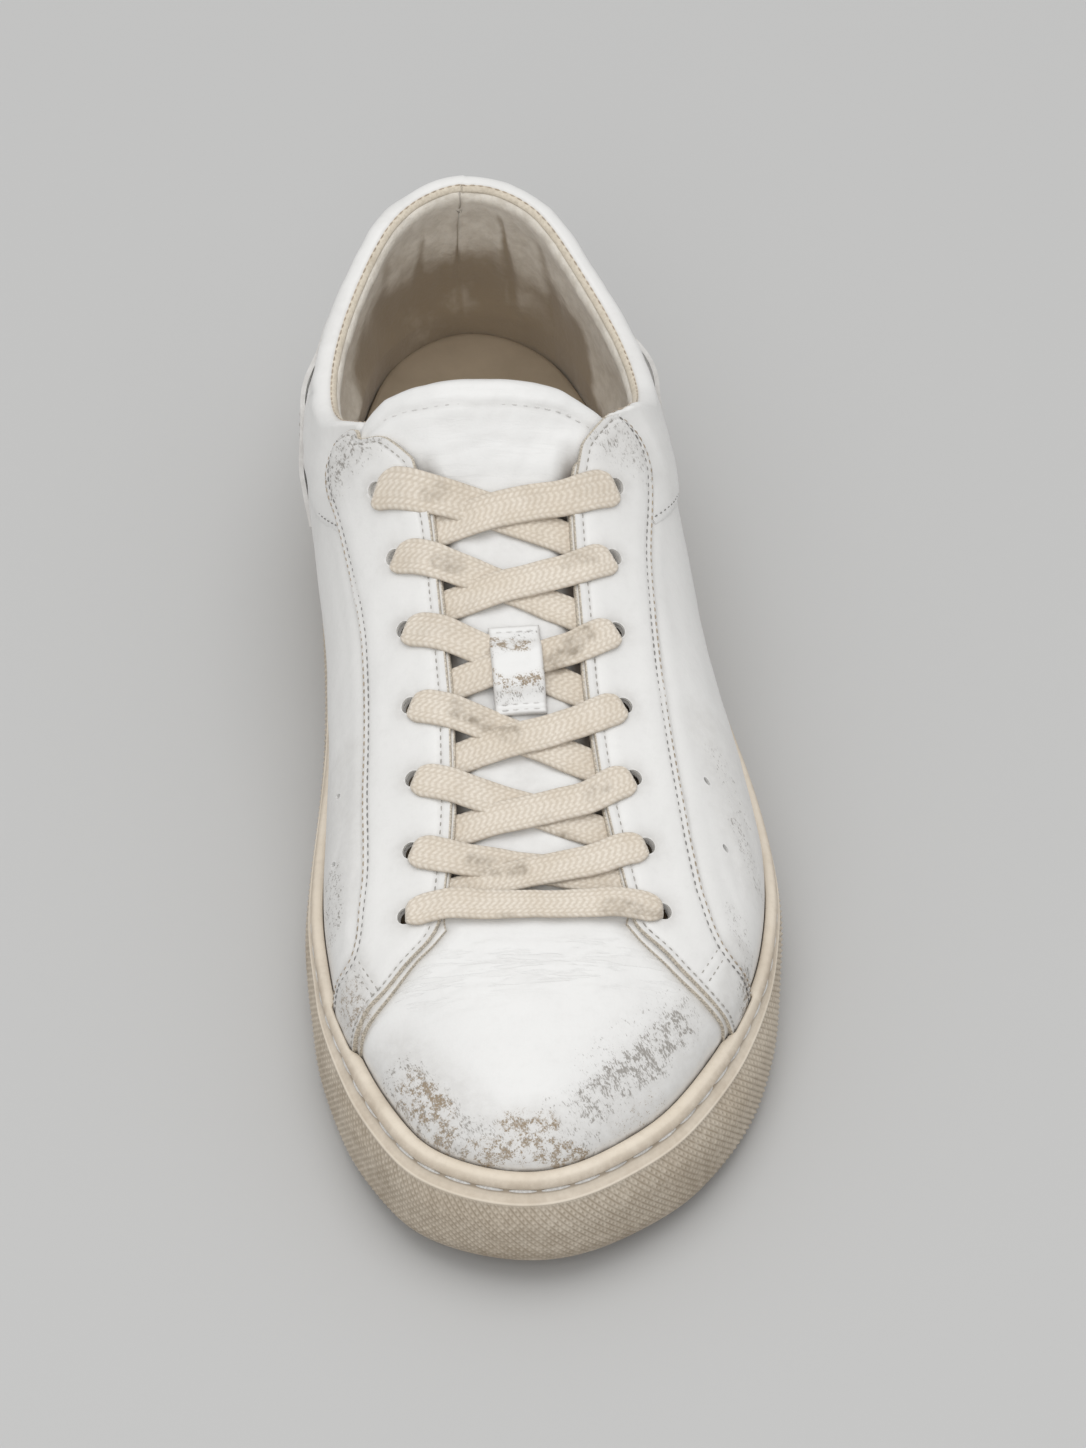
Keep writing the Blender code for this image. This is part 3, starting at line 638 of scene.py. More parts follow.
def lace_braid():
    """Flat cotton braid, cream, with ground-in soiling, painted shade in the hollows of its braid, and painted
    shade where it dives into the eyelets.
    """
    finish = Finish("lace_braid", 0.92, Sheen_Weight=0.3, Sheen_Roughness=0.5)
    fibre = finish.noise(2200, 4, 0.65)
    cloud = finish.noise(95, 4, 0.6)
    smudge = finish.noise(420, 4, 0.6)
    colour = finish.blend(finish.ramp(cloud, 0.35, 0.7), (0.86, 0.79, 0.69), (0.785, 0.705, 0.595))
    # Painted shade in the braid's hollows.
    hollows = finish.ramp(finish.attribute("valley"), 0.0, 1.0, 0.0, 0.42)
    colour = finish.blend(hollows, colour, (0.44, 0.35, 0.25))
    colour = finish.blend(finish.times(finish.ramp(fibre, 0.45, 0.7), 0.16), colour, (0.42, 0.36, 0.28))
    dirt_and_shade = finish.times(finish.attribute("grime"), finish.ramp(smudge, 0.3, 0.6, 0.25, 1.1))
    finish.tint(finish.blend(dirt_and_shade, colour, (0.21, 0.165, 0.115)))
    finish.relief((fibre, 0.5, 0.18))
    return finish.material


def sole_rubber(name, clean=(0.835, 0.75, 0.63), yellowed=(0.78, 0.69, 0.565), soiled_and_shaded=(0.42, 0.34, 0.255)):
    """Off-white rubber, yellowed, darkened where marked, partly as soiling in its grooves and over its side and
    partly as painted shade over its side, low down and at the toe, with dark lines painted as shade in its
    recesses.
    """
    finish = Finish(name, 0.55)
    cloud = finish.noise(60, 5, 0.6)
    fine = finish.noise(500, 5, 0.65)
    colour = finish.blend(finish.ramp(cloud, 0.35, 0.7), clean, yellowed)
    colour = finish.blend(finish.times(finish.ramp(fine, 0.5, 0.75), 0.16), colour, (0.45, 0.38, 0.28))
    # The marked darkening: soiling and painted shade together.
    dirt_and_shade = finish.times(finish.attribute("grime"), finish.ramp(fine, 0.2, 0.6, 0.5, 1.0))
    colour = finish.blend(dirt_and_shade, colour, soiled_and_shaded)
    # Painted shade: dark lines in the stitch groove, under the bead and down the gap at the lip.
    finish.tint(finish.blend(finish.attribute("line"), colour, (0.17, 0.135, 0.10)))
    finish.gloss(finish.ramp(dirt_and_shade, 0, 1, 0.48, 0.8))
    finish.relief((fine, 0.25, 0.2))
    return finish.material


# ---- Where the panels end: stations along the rim, and sweeps from the rim (0) to the ridge (a quarter turn).

Corner = namedtuple("Corner", "along sweep")

QUARTER_FRONT = {
    OUTER: table(Corner, (254.4, 0), (254.1, 0.12), (254.0, 0.31), (253.4, 0.48), (252.4, 0.61),
        (251.2, 0.72), (249.4, 0.83), (247.6, 0.91), (245.4, 1.0), (242.6, 1.09), (238.5, 1.18)),
    INNER: table(Corner, (251.3, 0), (250.8, 0.24), (250.2, 0.36), (249.3, 0.51), (247.9, 0.66),
        (246.1, 0.77), (244.1, 0.86), (241.7, 0.96), (240, 1.04), (236.6, 1.14)),
}
FACING_FRONT = {
    OUTER: table(Corner, (252, 0), (252.8, 0.14), (252.9, 0.27), (252.4, 0.46), (251.2, 0.61), (249.6, 0.73),
        (247.8, 0.83), (245.3, 0.93), (243.2, 1.01), (238.4, 1.14)),
    INNER: table(Corner, (249.5, 0), (249.5, 0.15), (249.1, 0.29), (247.9, 0.43), (247, 0.55), (246.1, 0.67),
        (244.6, 0.77), (242.7, 0.86), (241, 0.94), (236.2, 1.09)),
}
FACING_SEAM = {
    OUTER: table(Seam, (111.6, 30), (113.1, 33.6), (116.7, 35.8), (125.3, 36.3), (135.8, 35), (146.9, 34.3),
        (160.9, 34.1), (174.2, 34.2), (187.4, 34.8), (200, 35.7), (217.2, 37.3), (226, 38.5)),
    INNER: table(Seam, (104.2, 35.6), (105.7, 38), (108.8, 38.7), (117.5, 38), (128.4, 36.5), (140.3, 35.2),
        (152.2, 34.5), (162.8, 34.8), (173.2, 35.4), (183.5, 36.3), (194, 37.3), (214.5, 38.7), (222.6, 40)),
}
SEAM_FOOT = {
    OUTER: table(Corner, (233, 0.69), (236.9, 0.60), (239.3, 0.47), (240.2, 0.32), (240.3, 0.15), (239.9, 0)),
    INNER: table(Corner, (229.6, 0.53), (232.2, 0.47), (233.6, 0.33), (233.8, 0.16), (233.9, 0)),
}
CROSS_SEAM = {
    OUTER: [(Corner(239.4, 0.606), Corner(247.8, 0.673)), (Corner(241.3, 0.54), Corner(248.7, 0.594))],
    INNER: [(Corner(234.6, 0.534), Corner(245.4, 0.625)), (Corner(235.6, 0.47), Corner(246.1, 0.57))],
}
TIP_ALONG = {OUTER: 111.5, INNER: 104.2}
TIP_EDGE = {OUTER: ([111.5, 112], [29.7, 29.7]), INNER: ([104.2, 105.2, 107.3], [35.4, 33.0, 31.0])}

LAYER_IN = {"vamp": 0.85, "quarter": 0.25, "collar": -0.35, "facing": -0.85, "counter": -1.6}


def reach_to_sweep(rows, outer):
    """The sweeps of seam points told by their reach."""
    along, reach = column(rows, "reach")
    return np.stack([along, sweep_at_reach(place_of(along, outer), reach)], 1)


def lengths(points, wide=45.0):
    """Running length of a line of (along, sweep) points, a sweep of one being about this many millimetres."""
    return run_along(points * [1, wide])


def smooth_line(points, share):
    """Points at shares of the length of a line, on a spline through its points."""
    run = lengths(points)
    keep = np.concatenate([[True], np.diff(run) > 1e-6])
    run, points = run[keep], points[keep]
    return np.stack([spline(np.asarray(share) * run[-1], run, points[:, axis]) for axis in (0, 1)], -1)


def even_line(points, share):
    """As smooth_line, but straight from point to point."""
    run = lengths(points)
    return np.stack([np.interp(np.asarray(share) * run[-1], run, points[:, axis]) for axis in (0, 1)], -1)


# ---- Scuffing, soiling and painted shade, as strengths from 0 to 1 painted over points given as (x, along, z).

def dab(points, start, end, radius):
    """A stroke with soft sides between two points in plan, given as (x, along)."""
    start, end = np.array(start, float), np.array(end, float)
    run = end - start
    plan = points[..., :2] - start
    share = np.clip((plan @ run) / max(run @ run, 1e-9), 0, 1)
    away = np.linalg.norm(plan - share[..., None] * run, axis=-1)
    return 1 - ease((away / radius - 0.4) / 0.6)


def strongest(*strokes):
    total = strokes[0]
    for stroke in strokes[1:]:
        total = np.maximum(total, stroke)
    return total


def dabs(points, *strokes):
    """The strongest of some strokes, each given as (strength, start, end, radius)."""
    return strongest(*(strength * dab(points, *stroke) for strength, *stroke in strokes))


def waves(points, pitch, seed, octaves=3):
    """Smooth pseudo-random height from -1 to 1, made of crossed sine waves, the same on each run."""
    chance = np.random.default_rng(seed)
    total, weight = 0.0, 0.0
    for octave in range(octaves):
        size = 0.5 ** octave
        for _ in range(5):
            way = chance.normal(size=3)
            way *= 2 * np.pi / (pitch * size * np.linalg.norm(way))
            total = total + size * np.sin(points @ way + chance.uniform(0, 2 * np.pi))
        weight += size * 2.2
    return total / weight


# ---- The sole.

SOLE_COLUMNS = 660
KNURL_COLUMNS, KNURL_ROWS = 1560, 38  # four to each diamond of the knurled side, both ways
KNURL_DEPTH = 0.62
KNURL_TOP = 5.9  # how far under the rim the knurled band ends
TREAD_RINGS = 14


def even_places(out, count):
    """Places evenly spaced along the outline moved outwards, the first at the heel and again at the end."""
    ring = RING + ring_normal(RING_PLACE) * out(RING[:, 1])[:, None]
    ring = np.concatenate([ring, ring[:1]])
    run = run_along(ring)
    places = np.interp(np.linspace(0, run[-1], count + 1), run, np.append(RING_PLACE, 1.0))
    places[-1] = places[0]
    return places


def outline_out(places, out, height):
    """The outline moved outwards, as (x, along, z)."""
    plan = on_ring(places) + ring_normal(places) * np.broadcast_to(out, places.shape)[..., None]
    return np.concatenate([plan, np.broadcast_to(height, places.shape)[..., None]], -1)


def layer_out(places):
    """How far out the leather stands at the rim, layer on layer."""
    along = station_of(places)
    vamp, quarter, facing, counter = (-LAYER_IN[name] for name in ("vamp", "quarter", "facing", "counter"))
    front, facing_front, facing_back = (
        np.where(on_outer(places), rows[OUTER][end].along, rows[INNER][end].along)
        for rows, end in ((QUARTER_FRONT, 0), (FACING_FRONT, 0), (SEAM_FOOT, -1)))
    out = vamp + (quarter - vamp) * ease((front - along + 0.6) / 1.2)
    on_foot = ease((facing_front - along + 0.6) / 1.2) * ease((along - facing_back + 0.9) / 1.4)
    out += (facing - quarter) * on_foot
    return out + (counter - quarter) * ease((COUNTER_END + 0.5 - along) / 1.5)


def drawn_in(ring, share, height, places):
    """A ring drawn towards the ridge line by a share of the way."""
    there = ridge_along(station_of(places))
    middle = np.stack([smooth(SECTIONS, "ridge", there), there], -1)
    plan = ring[..., :2] + (middle - ring[..., :2]) * share
    return np.concatenate([plan, height(plan[..., 1])[..., None]], -1)


def side_wall(places):
    """How far out the sole's side stands: at the toe it leans to the outer side."""
    along = station_of(places)
    toe = (cup_wall(along) - CUP_WALL_SIDE) / (CUP_WALL_TOE - CUP_WALL_SIDE)
    return cup_wall(along) + 1.3 * toe * ring_normal(places)[..., 0], toe


def knurled_face(places, shares):
    """Outs and heights of the knurled side, row by row from its lower edge (0) to the bead (1)."""
    along = station_of(places)
    low, rim, (wall, toe) = ground(along), smooth(SECTIONS, "rim", along), side_wall(places)
    bottom, top = low + 0.8, rim - KNURL_TOP
    heights = bottom + (top - bottom) * np.asarray(shares)[:, None]
    knots = np.stack([bottom, low + 3.2, low + 7.5, rim - 9.5, top], 1)
    outs = np.stack([wall - 1.7, wall - 0.45, wall, (wall + bead_out(toe)) / 2 + 0.55, bead_out(toe) + 0.3], 1)
    columns = [spline(height, knot, out) for height, knot, out in zip(heights.T, knots, outs)]
    return np.array(columns).T, heights


def bead_out(toe):
    return 3.0 + 1.6 * np.maximum(toe, 0)


def groove_out(toe):
    return 2.75 + 0.4 * toe


def sole_side(places):
    """Rows of the sole's side from the tread's edge to inside the lip, and how dark each point is painted: the
    side darker than the lip's top, as soiling and as painted shade, and dark lines as painted shade in its
    recesses.
    """
    along = station_of(places)
    low, rim, (wall, toe) = ground(along), smooth(SECTIONS, "rim", along), side_wall(places)
    lip = layer_out(places) + 0.12
    rows, grime, line = [], [], []

    def row(out, height, dirt_and_shade, dark=0.0):
        rows.append(outline_out(places, out, height))
        grime.append(np.broadcast_to(dirt_and_shade, places.shape))
        line.append(np.broadcast_to(dark, places.shape))

    row(wall - 3.3, low, 0.7)
    rows[0][:, 2] = ground(rows[0][:, 1])
    row(wall - 2.4, low + 0.25, 0.6)
    for out, height in zip(*knurled_face(places, (0.0, 0.08, 0.2, 0.35, 0.5, 0.65, 0.8, 0.93))):
        row(out - 0.75, height, 0.5)
    bead, groove = bead_out(toe), groove_out(toe)
    # Dark lines of painted shade: under the bead here, then in the stitch groove and down the gap at the lip
    # further on.
    row(bead + 0.20, rim - KNURL_TOP + 0.1, 0.8, 0.45)
    row(bead + 0.45, rim - 5.65, 0.25)
    row(bead + 0.50, rim - 5.35, 0.0)
    row(bead + 0.38, rim - 5.1, 0.0)
    row(bead + 0.05, rim - 4.9, 0.45)
    for share in (0.4, 0.75):
        row(bead - 0.05 + (groove - bead) * share, rim - 4.9 + 1.1 * share, 0.35)
    row(groove + 0.12, rim - 3.75, 0.35)
    row(groove - 0.30, rim - 3.45, 0.75, 0.30)
    row(groove - 0.48, rim - 3.0, 0.8, 0.35)
    row(groove - 0.36, rim - 2.5, 0.6, 0.2)
    row(groove - 0.05, rim - 2.15, 0.45)
    row(groove + 0.05, rim - 1.6, 0.60)
    row(2.62, rim - 1.0, 0.50)
    row(2.28, rim - 0.5, 0.30)
    row(1.85, rim - 0.14, 0.12)
    row((1.85 + lip) / 2 + 0.25, rim, 0.08)
    row(lip + 0.35, rim - 0.10, 0.10)
    row(lip + 0.10, rim - 0.32, 0.5, 0.25)
    row(lip, rim - 0.8, 1.0, 0.9)
    row(np.minimum(lip, GAP), rim - 2.6, 1.0, 1.0)
    return rows, grime, line


def make_knurled_band():
    """The band of small diamonds pressed into the sole's side, a closed strip let into the rubber."""
    places = even_places(cup_wall, KNURL_COLUMNS)
    columns = np.arange(len(places))
    worn = 0.75 + 0.25 * waves(outline_out(places, 0, 0), 40, 3)
    rows, grime = [], []
    for j, (out, height) in enumerate(zip(*knurled_face(places, evenly(KNURL_ROWS + 1)))):
        slant = [np.abs((columns + way * j + 2) % 4 - 2) for way in (1, -1)]
        hollow = 1 - np.minimum(*slant) / 2
        fade = ease(j / 2) * ease((KNURL_ROWS - j) / 1.5)
        rows.append(outline_out(places, out - KNURL_DEPTH * hollow * fade * worn, height))
        # The diamonds' valleys are darker, as soiling and as painted shade in them.
        grime.append(0.10 + 0.80 * hollow * fade)
    low, high = rows[0].copy(), rows[-1].copy()
    inward = ring_normal(places) * 1.2
    low[:, :2] -= inward
    high[:, :2] -= inward
    points = np.array([low, *rows, high, low])
    soil_and_shade = np.array([grime[0], *grime, grime[-1], grime[0]])
    # Random soiling, and painted shade at the toe and low down near the floor.
    soil_and_shade += 0.24 * np.clip(waves(points, 26, 11), 0, 1) + 0.12 * ease((points[..., 1] - 246) / 25)
    soil_and_shade += 0.25 * ease((6.0 - (points[..., 2] - ground(points[..., 1]))) / 5.0)
    band = new_sheet("sole_knurl", points)
    mark(band, grime=np.clip(soil_and_shade, 0, 1))
    edit(band, MERGE, FACE_OUT)
    # A darker copy of the sole's rubber: soiling, and painted shade on the side that faces down.
    rubber = sole_rubber("knurled_rubber", (0.80, 0.72, 0.605), (0.74, 0.65, 0.53), (0.36, 0.295, 0.22))
    return dress(band, "sole", rubber)


def tread_relief(plan):
    """How far the underside is hollowed: wavy bars across the sole."""
    x, along = plan[..., 0], plan[..., 1]
    wave = np.sin(2 * np.pi * (along + 2.2 * np.sin(2 * np.pi * x / 17)) / 9.5)
    return 0.9 * ease((wave + 0.15) / 0.5)


def make_sole():
    """The cup sole, with its knurled side, the bead over it, the stitched groove and the rounded lip."""
    places = even_places(cup_wall, SOLE_COLUMNS)
    side, grime, line = sole_side(places)
    tread = []
    for share in np.linspace(1, 0.06, TREAD_RINGS):
        ring = drawn_in(side[0], share, ground, places)
        ring[..., 2] += tread_relief(ring) * ease((share - 0.08) / 0.1) * ease((1.0 - share) / 0.02 + 0.5)
        tread.append(ring)
    cup = outline_out(places, GAP, cup_floor(station_of(places)))
    inside = [cup] + [drawn_in(cup, share, cup_floor, places) for share in (0.3, 0.65, 1.0)]
    points = np.array(tread + side + inside)
    sole = new_sheet("sole_rubber", points)
    soil_and_shade = np.zeros(points.shape[:2])
    # The tread is dark, as soiling and as painted shade under the shoe.
    soil_and_shade[:len(tread)] = 0.75
    soil_and_shade[len(tread):len(tread) + len(side)] = grime
    along = points[..., 1]
    # Random soiling, and painted shade low down at the toe.
    soil_and_shade += (0.22 * np.clip(waves(points, 26, 11), 0, 1)
             + 0.18 * ease((along - 246) / 25) * (points[..., 2] < 12))
    # Painted shade: the dark lines in the side's recesses.
    dark = np.zeros(points.shape[:2])
    dark[len(tread):len(tread) + len(side)] = line
    mark(sole, grime=np.clip(soil_and_shade, 0, 1), line=dark * 0.8)
    edit(sole, MERGE, FACE_OUT)
    return dress(sole, "sole", sole_rubber("sole_rubber"))


# ---- The upper's leather.

BELOW_RIM = 40.0  # millimetres down from the rim for a sweep of minus one
FOOT_SWEEP = -0.07
ROW_POWER = 1.4
FACING_SETBACK = 0.7  # how far the facing's edge stands back from the quarter's edge along the throat


def skin(place, sweep, depth):
    """A point of the leather, its outward normal and its way up; under the rim the wall goes straight down."""
    place, sweep, depth = np.broadcast_arrays(np.asarray(place, float), sweep, depth)
    point, normal, up = last_frame(place, sweep)
    point = point - normal * depth[..., None]
    point[..., 2] -= BELOW_RIM * np.maximum(-sweep, 0)
    return point, normal, up


def pushed(points, normal, amount):
    return points + normal * amount[..., None]


def nearness(points, line, reach=6.0):
    """The distance of each point from a line of points, up to a reach."""
    flat = points.reshape(-1, 3)
    away = np.full(len(flat), reach * 2.0)
    low, high = line.min(axis=0) - reach, line.max(axis=0) + reach
    close = np.flatnonzero(((flat > low) & (flat < high)).all(axis=1))
    for part in np.array_split(close, max(1, len(close) // 1500)):
        gap = flat[part, None, :] - line[None, :, :]
        away[part] = np.sqrt((gap * gap).sum(axis=2).min(axis=1))
    return away.reshape(points.shape[:-1])


def sunk(points, line, depth, width):
    """How far a stitched seam pulls the leather in."""
    away = nearness(points, line, width * 3)
    return -depth * bell(away, width)


def crease(points, line, depth, width, wobble=0.0, seed=1):
    """A soft trough along a line of (x, along) points, which thins out towards both its ends."""
    line = np.array(line, float)
    steps = run_along(line)
    share = evenly(60)
    fine = np.stack([spline(share * steps[-1], steps, line[:, axis]) for axis in (0, 1)], 1)
    plan = points[..., :2].reshape(-1, 2)
    low, high = fine.min(axis=0) - 4 * width, fine.max(axis=0) + 4 * width
    close = np.flatnonzero(((plan > low) & (plan < high)).all(axis=1))
    total = np.zeros(len(plan))
    shift = wobble * waves(points.reshape(-1, 3)[close], 14, seed, 2)
    batches = max(1, len(close) // 4000)
    for part, move in zip(np.array_split(close, batches), np.array_split(shift, batches)):
        spot = plan[part].copy()
        spot[:, 1] += move
        gap = np.linalg.norm(spot[:, None, :] - fine[None], axis=2)
        nearest = gap.argmin(axis=1)
        thin = np.sin(np.pi * share[nearest]) ** 0.6
        away = gap[np.arange(len(part)), nearest]
        total[part] = -depth * thin * bell(away, (width * (0.35 + 0.65 * thin)))
    return total.reshape(points.shape[:-1])


def marks_of(points, **strengths):
    return {name: np.clip(value + np.zeros(points.shape[:-1]), 0, 1) for name, value in strengths.items()}


def toe_stations(start, count):
    """Stations evenly spaced round the outer side from a start to the toe."""
    half = RING[:TOE_INDEX + 1]
    run = run_along(half)
    first = np.interp(start, half[:, 1], run)
    return np.interp(np.linspace(first, run[-1], count), run, half[:, 1])


FLEX_CREASES = [
    ([(-27, 244.5), (-15, 243.2), (-2, 244.6), (8, 243.0), (17, 241.5)], 0.42, 1.3),
    ([(-28, 250.2), (-18, 248.8), (-6, 249.8), (6, 248.6), (15, 249.4)], 0.36, 1.2),
    ([(-24, 239.6), (-12, 238.6), (0, 239.4), (12, 238.4)], 0.22, 1.1),
    ([(-31, 256.0), (-20, 254.2), (-9, 255.0)], 0.20, 1.0),
    ([(6, 254.4), (16, 252.8), (27, 250.5)], 0.22, 1.0),
    ([(-20, 247.2), (-8, 246.6), (2, 247.3)], 0.16, 0.8),
    ([(-4, 252.6), (8, 251.4), (18, 251.9)], 0.15, 0.8),
]


def make_vamp():
    """The toe's leather, rim to rim over the ridge, with the creases where the foot bends."""
    stations = toe_stations(232.5, 150)
    places = np.concatenate([place_of(stations, OUTER), place_of(stations[-2::-1], INNER)])
    shares = np.concatenate([[FOOT_SWEEP, FOOT_SWEEP / 2], evenly(80) ** ROW_POWER])
    sweep = np.where(shares[:, None] > 0, shares[:, None] * QUARTER, shares[:, None]) + 0 * places
    points, normal, _ = skin(places, sweep, LAYER_IN["vamp"])
    lift = 0.16 * waves(points, 34, 5, 2) + 0.045 * waves(points, 9, 6, 3)
    for line, depth, width in FLEX_CREASES:
        lift += crease(points, line, depth, width, 0.8, int(width * 10))
    quarter_edge_shadow = 0 * lift
    for outer, rows in QUARTER_FRONT.items():
        edge = smooth_line(np.array(rows, float), evenly(80))
        away = nearness(points, last(place_of(edge[:, 0], outer), edge[:, 1], 0.5), 9)
        lift += 0.35 * bell(away - 3.2, 2.4) - 0.25 * bell(away, 0.9)
        # Painted shadow on the vamp along the quarter's front edge.
        quarter_edge_shadow = np.maximum(quarter_edge_shadow, 0.42 * bell(away, 0.9))
    lift *= ease((sweep + 0.02) / 0.08)
    ridge = points[-1]
    points = pushed(points, normal, lift)
    level = 0.5 * (points[-1] + points[-1, ::-1])
    points[-1] = np.where(np.linalg.norm(ridge - ridge[::-1], axis=-1, keepdims=True) < 0.01, level, points[-1])
    rim_dirt = 0.75 * np.exp(-np.maximum(sweep, 0) / 0.035) + 0.25 * np.exp(-np.maximum(sweep, 0) / 0.12)
    scuffs_and_shade = toe_scuffs_and_shade(points)
    flex = ease((points[..., 1] - 237) / 5) * ease((256 - points[..., 1]) / 7)
    # Soiling at the rim, the painted shadow along the quarters' edges, and the toe's marks and painted haze.
    grime = strongest(rim_dirt, quarter_edge_shadow, scuffs_and_shade.pop("grime"))
    vamp = leather_panel("vamp", points, normal, 1.4, marks_of(points, grime=grime, flex=flex, **scuffs_and_shade),
                         white_leather("vamp_leather"))
    for outer in (OUTER, INNER):
        cut_holes(vamp, [eyelet_frame(EYELETS[0], outer)], HOLE_WIDE + 0.4, HOLE_WIDE + 0.4)


def toe_scuffs_and_shade(points):
    """The toe's worn places: a brown patch on the inner side, a band at the front and grey strokes outside, and
    a grey haze low on the toe, partly soiling and partly painted shade where the surface turns down.
    """
    brown = dabs(points, (0.50, (-34, 268.5), (-27, 281), 5.2), (0.56, (-30, 272), (-27, 277), 3.8),
        (0.52, (-22, 286.2), (4, 289.2), 3.4), (0.50, (-13, 282.5), (-4, 284), 4.2),
        (0.26, (12, 284), (22, 276), 4.0))
    grey = dabs(points, (0.42, (-36, 266), (-24, 284), 7.0), (0.36, (-21, 284), (5, 287), 6.0),
        (0.52, (6, 279), (13, 274), 6.0), (0.58, (13, 273), (21, 267.5), 6.0),
        (0.54, (20, 267), (28, 259), 5.6), (0.34, (26, 258), (30, 255), 4.5),
        (0.26, (-2, 282), (12, 277), 7.0), (0.20, (8, 272), (28, 256), 9.0))
    # Painted shade with some soiling: a grey haze where the toe turns down to the sole.
    haze = dabs(points, (0.24, (-38, 262), (-18, 286), 11), (0.24, (8, 283), (34, 258), 10),
        (0.20, (-20, 285), (8, 286), 9))
    return {"scuff_brown": brown, "scuff_grey": grey, "grime": haze}


def quarter_top(along, outer):
    """The sweep at which a quarter ends: under the collar, then along the throat."""
    place = place_of(along, outer)
    under_collar = sweep_at_height(place, straight(UNDER_COLLAR, "height", along))
    throat = sweep_at_reach(place, straight(THROAT, "half_gap", np.minimum(along, THROAT_END)))
    front = np.array(QUARTER_FRONT[outer][-1], float)
    along_throat = np.interp(along, [THROAT_END, front[0]], [0, 1])
    throat = throat * (1 - along_throat) + front[1] * along_throat
    return np.where(along < 113, under_collar,
                    under_collar + (throat - under_collar) * ease((along - 113) / 12))


def quarter_grid(outer, columns=260, rows=64):
    """Places and sweeps of a quarter, whose last column follows its front edge."""
    front = np.array(QUARTER_FRONT[outer], float)
    half = RING[:TOE_INDEX + 1] if outer else RING[TOE_INDEX:][::-1]
    run = run_along(half)
    end = np.interp(front[0, 0], half[:, 1], run)
    base = np.interp(np.linspace(0, end, columns), run, half[:, 1])
    share = np.concatenate([[FOOT_SWEEP, FOOT_SWEEP / 2], evenly(rows) ** ROW_POWER])
    edge = smooth_line(front, evenly(120))
    edge_along = np.interp(np.maximum(share, 0) * front[-1, 1], edge[:, 1], edge[:, 0])
    along = base[None, :] - (front[0, 0] - edge_along)[:, None] * (base[None, :] / base[-1]) ** 4
    sweep = np.where(share[:, None] > 0, share[:, None] * quarter_top(along, outer), share[:, None])
    return along, sweep


THROAT_STEPS = 225  # points of the facing's edge along the throat,
FRONT_STEPS = 76  # and from its front corner down to the rim


def facing_lines(outer):
    """The facing's inner edge down to the rim and its outer edge, as (along, sweep) at the same shares."""
    tip = TIP_ALONG[outer]
    throat = np.concatenate([np.linspace(tip, tip + 16, 60), np.linspace(tip + 17, THROAT_END - 1, 80)])
    edge = np.where(throat < 109, 99, straight(THROAT, "half_gap", throat) + FACING_SETBACK)
    reach = np.minimum(edge, np.interp(throat, *TIP_EDGE[outer]))
    reach[3:-3] = np.mean([reach[3 + move:len(reach) - 3 + move] for move in range(-3, 4)], axis=0)
    inner = np.stack([throat, sweep_at_reach(place_of(throat, outer), reach)], 1)
    seam = reach_to_sweep(FACING_SEAM[outer], outer)
    below = np.array([[0, FOOT_SWEEP / 2], [0, FOOT_SWEEP]])
    lines = []
    for line, draw, foot in ((inner, even_line, FACING_FRONT[outer][::-1]),
                             (seam, smooth_line, SEAM_FOOT[outer])):
        down = smooth_line(np.concatenate([line[-1:], np.array(foot, float)]), evenly(FRONT_STEPS)[1:])
        lines.append(np.concatenate([draw(line, evenly(THROAT_STEPS)), down, down[-1] * [1, 0] + below]))
    return lines


def facing_at(outer, share, depth):
    """Points, normals over the facing at shares of its width from the inner edge (0) to the outer seam (1)."""
    inner, seam = facing_lines(outer)
    mixed = inner + (seam - inner) * share
    point, normal, _ = skin(place_of(mixed[:, 0], outer), mixed[:, 1], depth)
    return point, normal


def facing_width(outer):
    inner, _ = facing_at(outer, 0.0, LAYER_IN["facing"])
    seam, _ = facing_at(outer, 1.0, LAYER_IN["facing"])
    return np.maximum(np.linalg.norm(inner - seam, axis=1), 0.5)


def facing_seam_line(outer, from_seam=None, from_inner=None):
    """A line on the facing at a distance from its seam or from its inner edge."""
    width = facing_width(outer)
    share = from_inner / width if from_seam is None else 1 - from_seam / width
    return facing_at(outer, np.clip(share, 0.02, 0.98)[:, None], LAYER_IN["facing"])


def front_rise(points):
    """How far the quarter and the facing stand off at their front edges, over the rim."""
    return 0.35 * ease((points[..., 1] - 226) / 12) * ease((points[..., 2] - 30) / 5)


def facing_rise(points):
    """How far the facing stands off: at its front edge, and at its tip, which lies on the padded collar."""
    tip = np.where(points[..., 0] > 0, TIP_ALONG[OUTER], TIP_ALONG[INNER])
    return front_rise(points) + 1.0 * ease((tip + 13 - points[..., 1]) / 12)


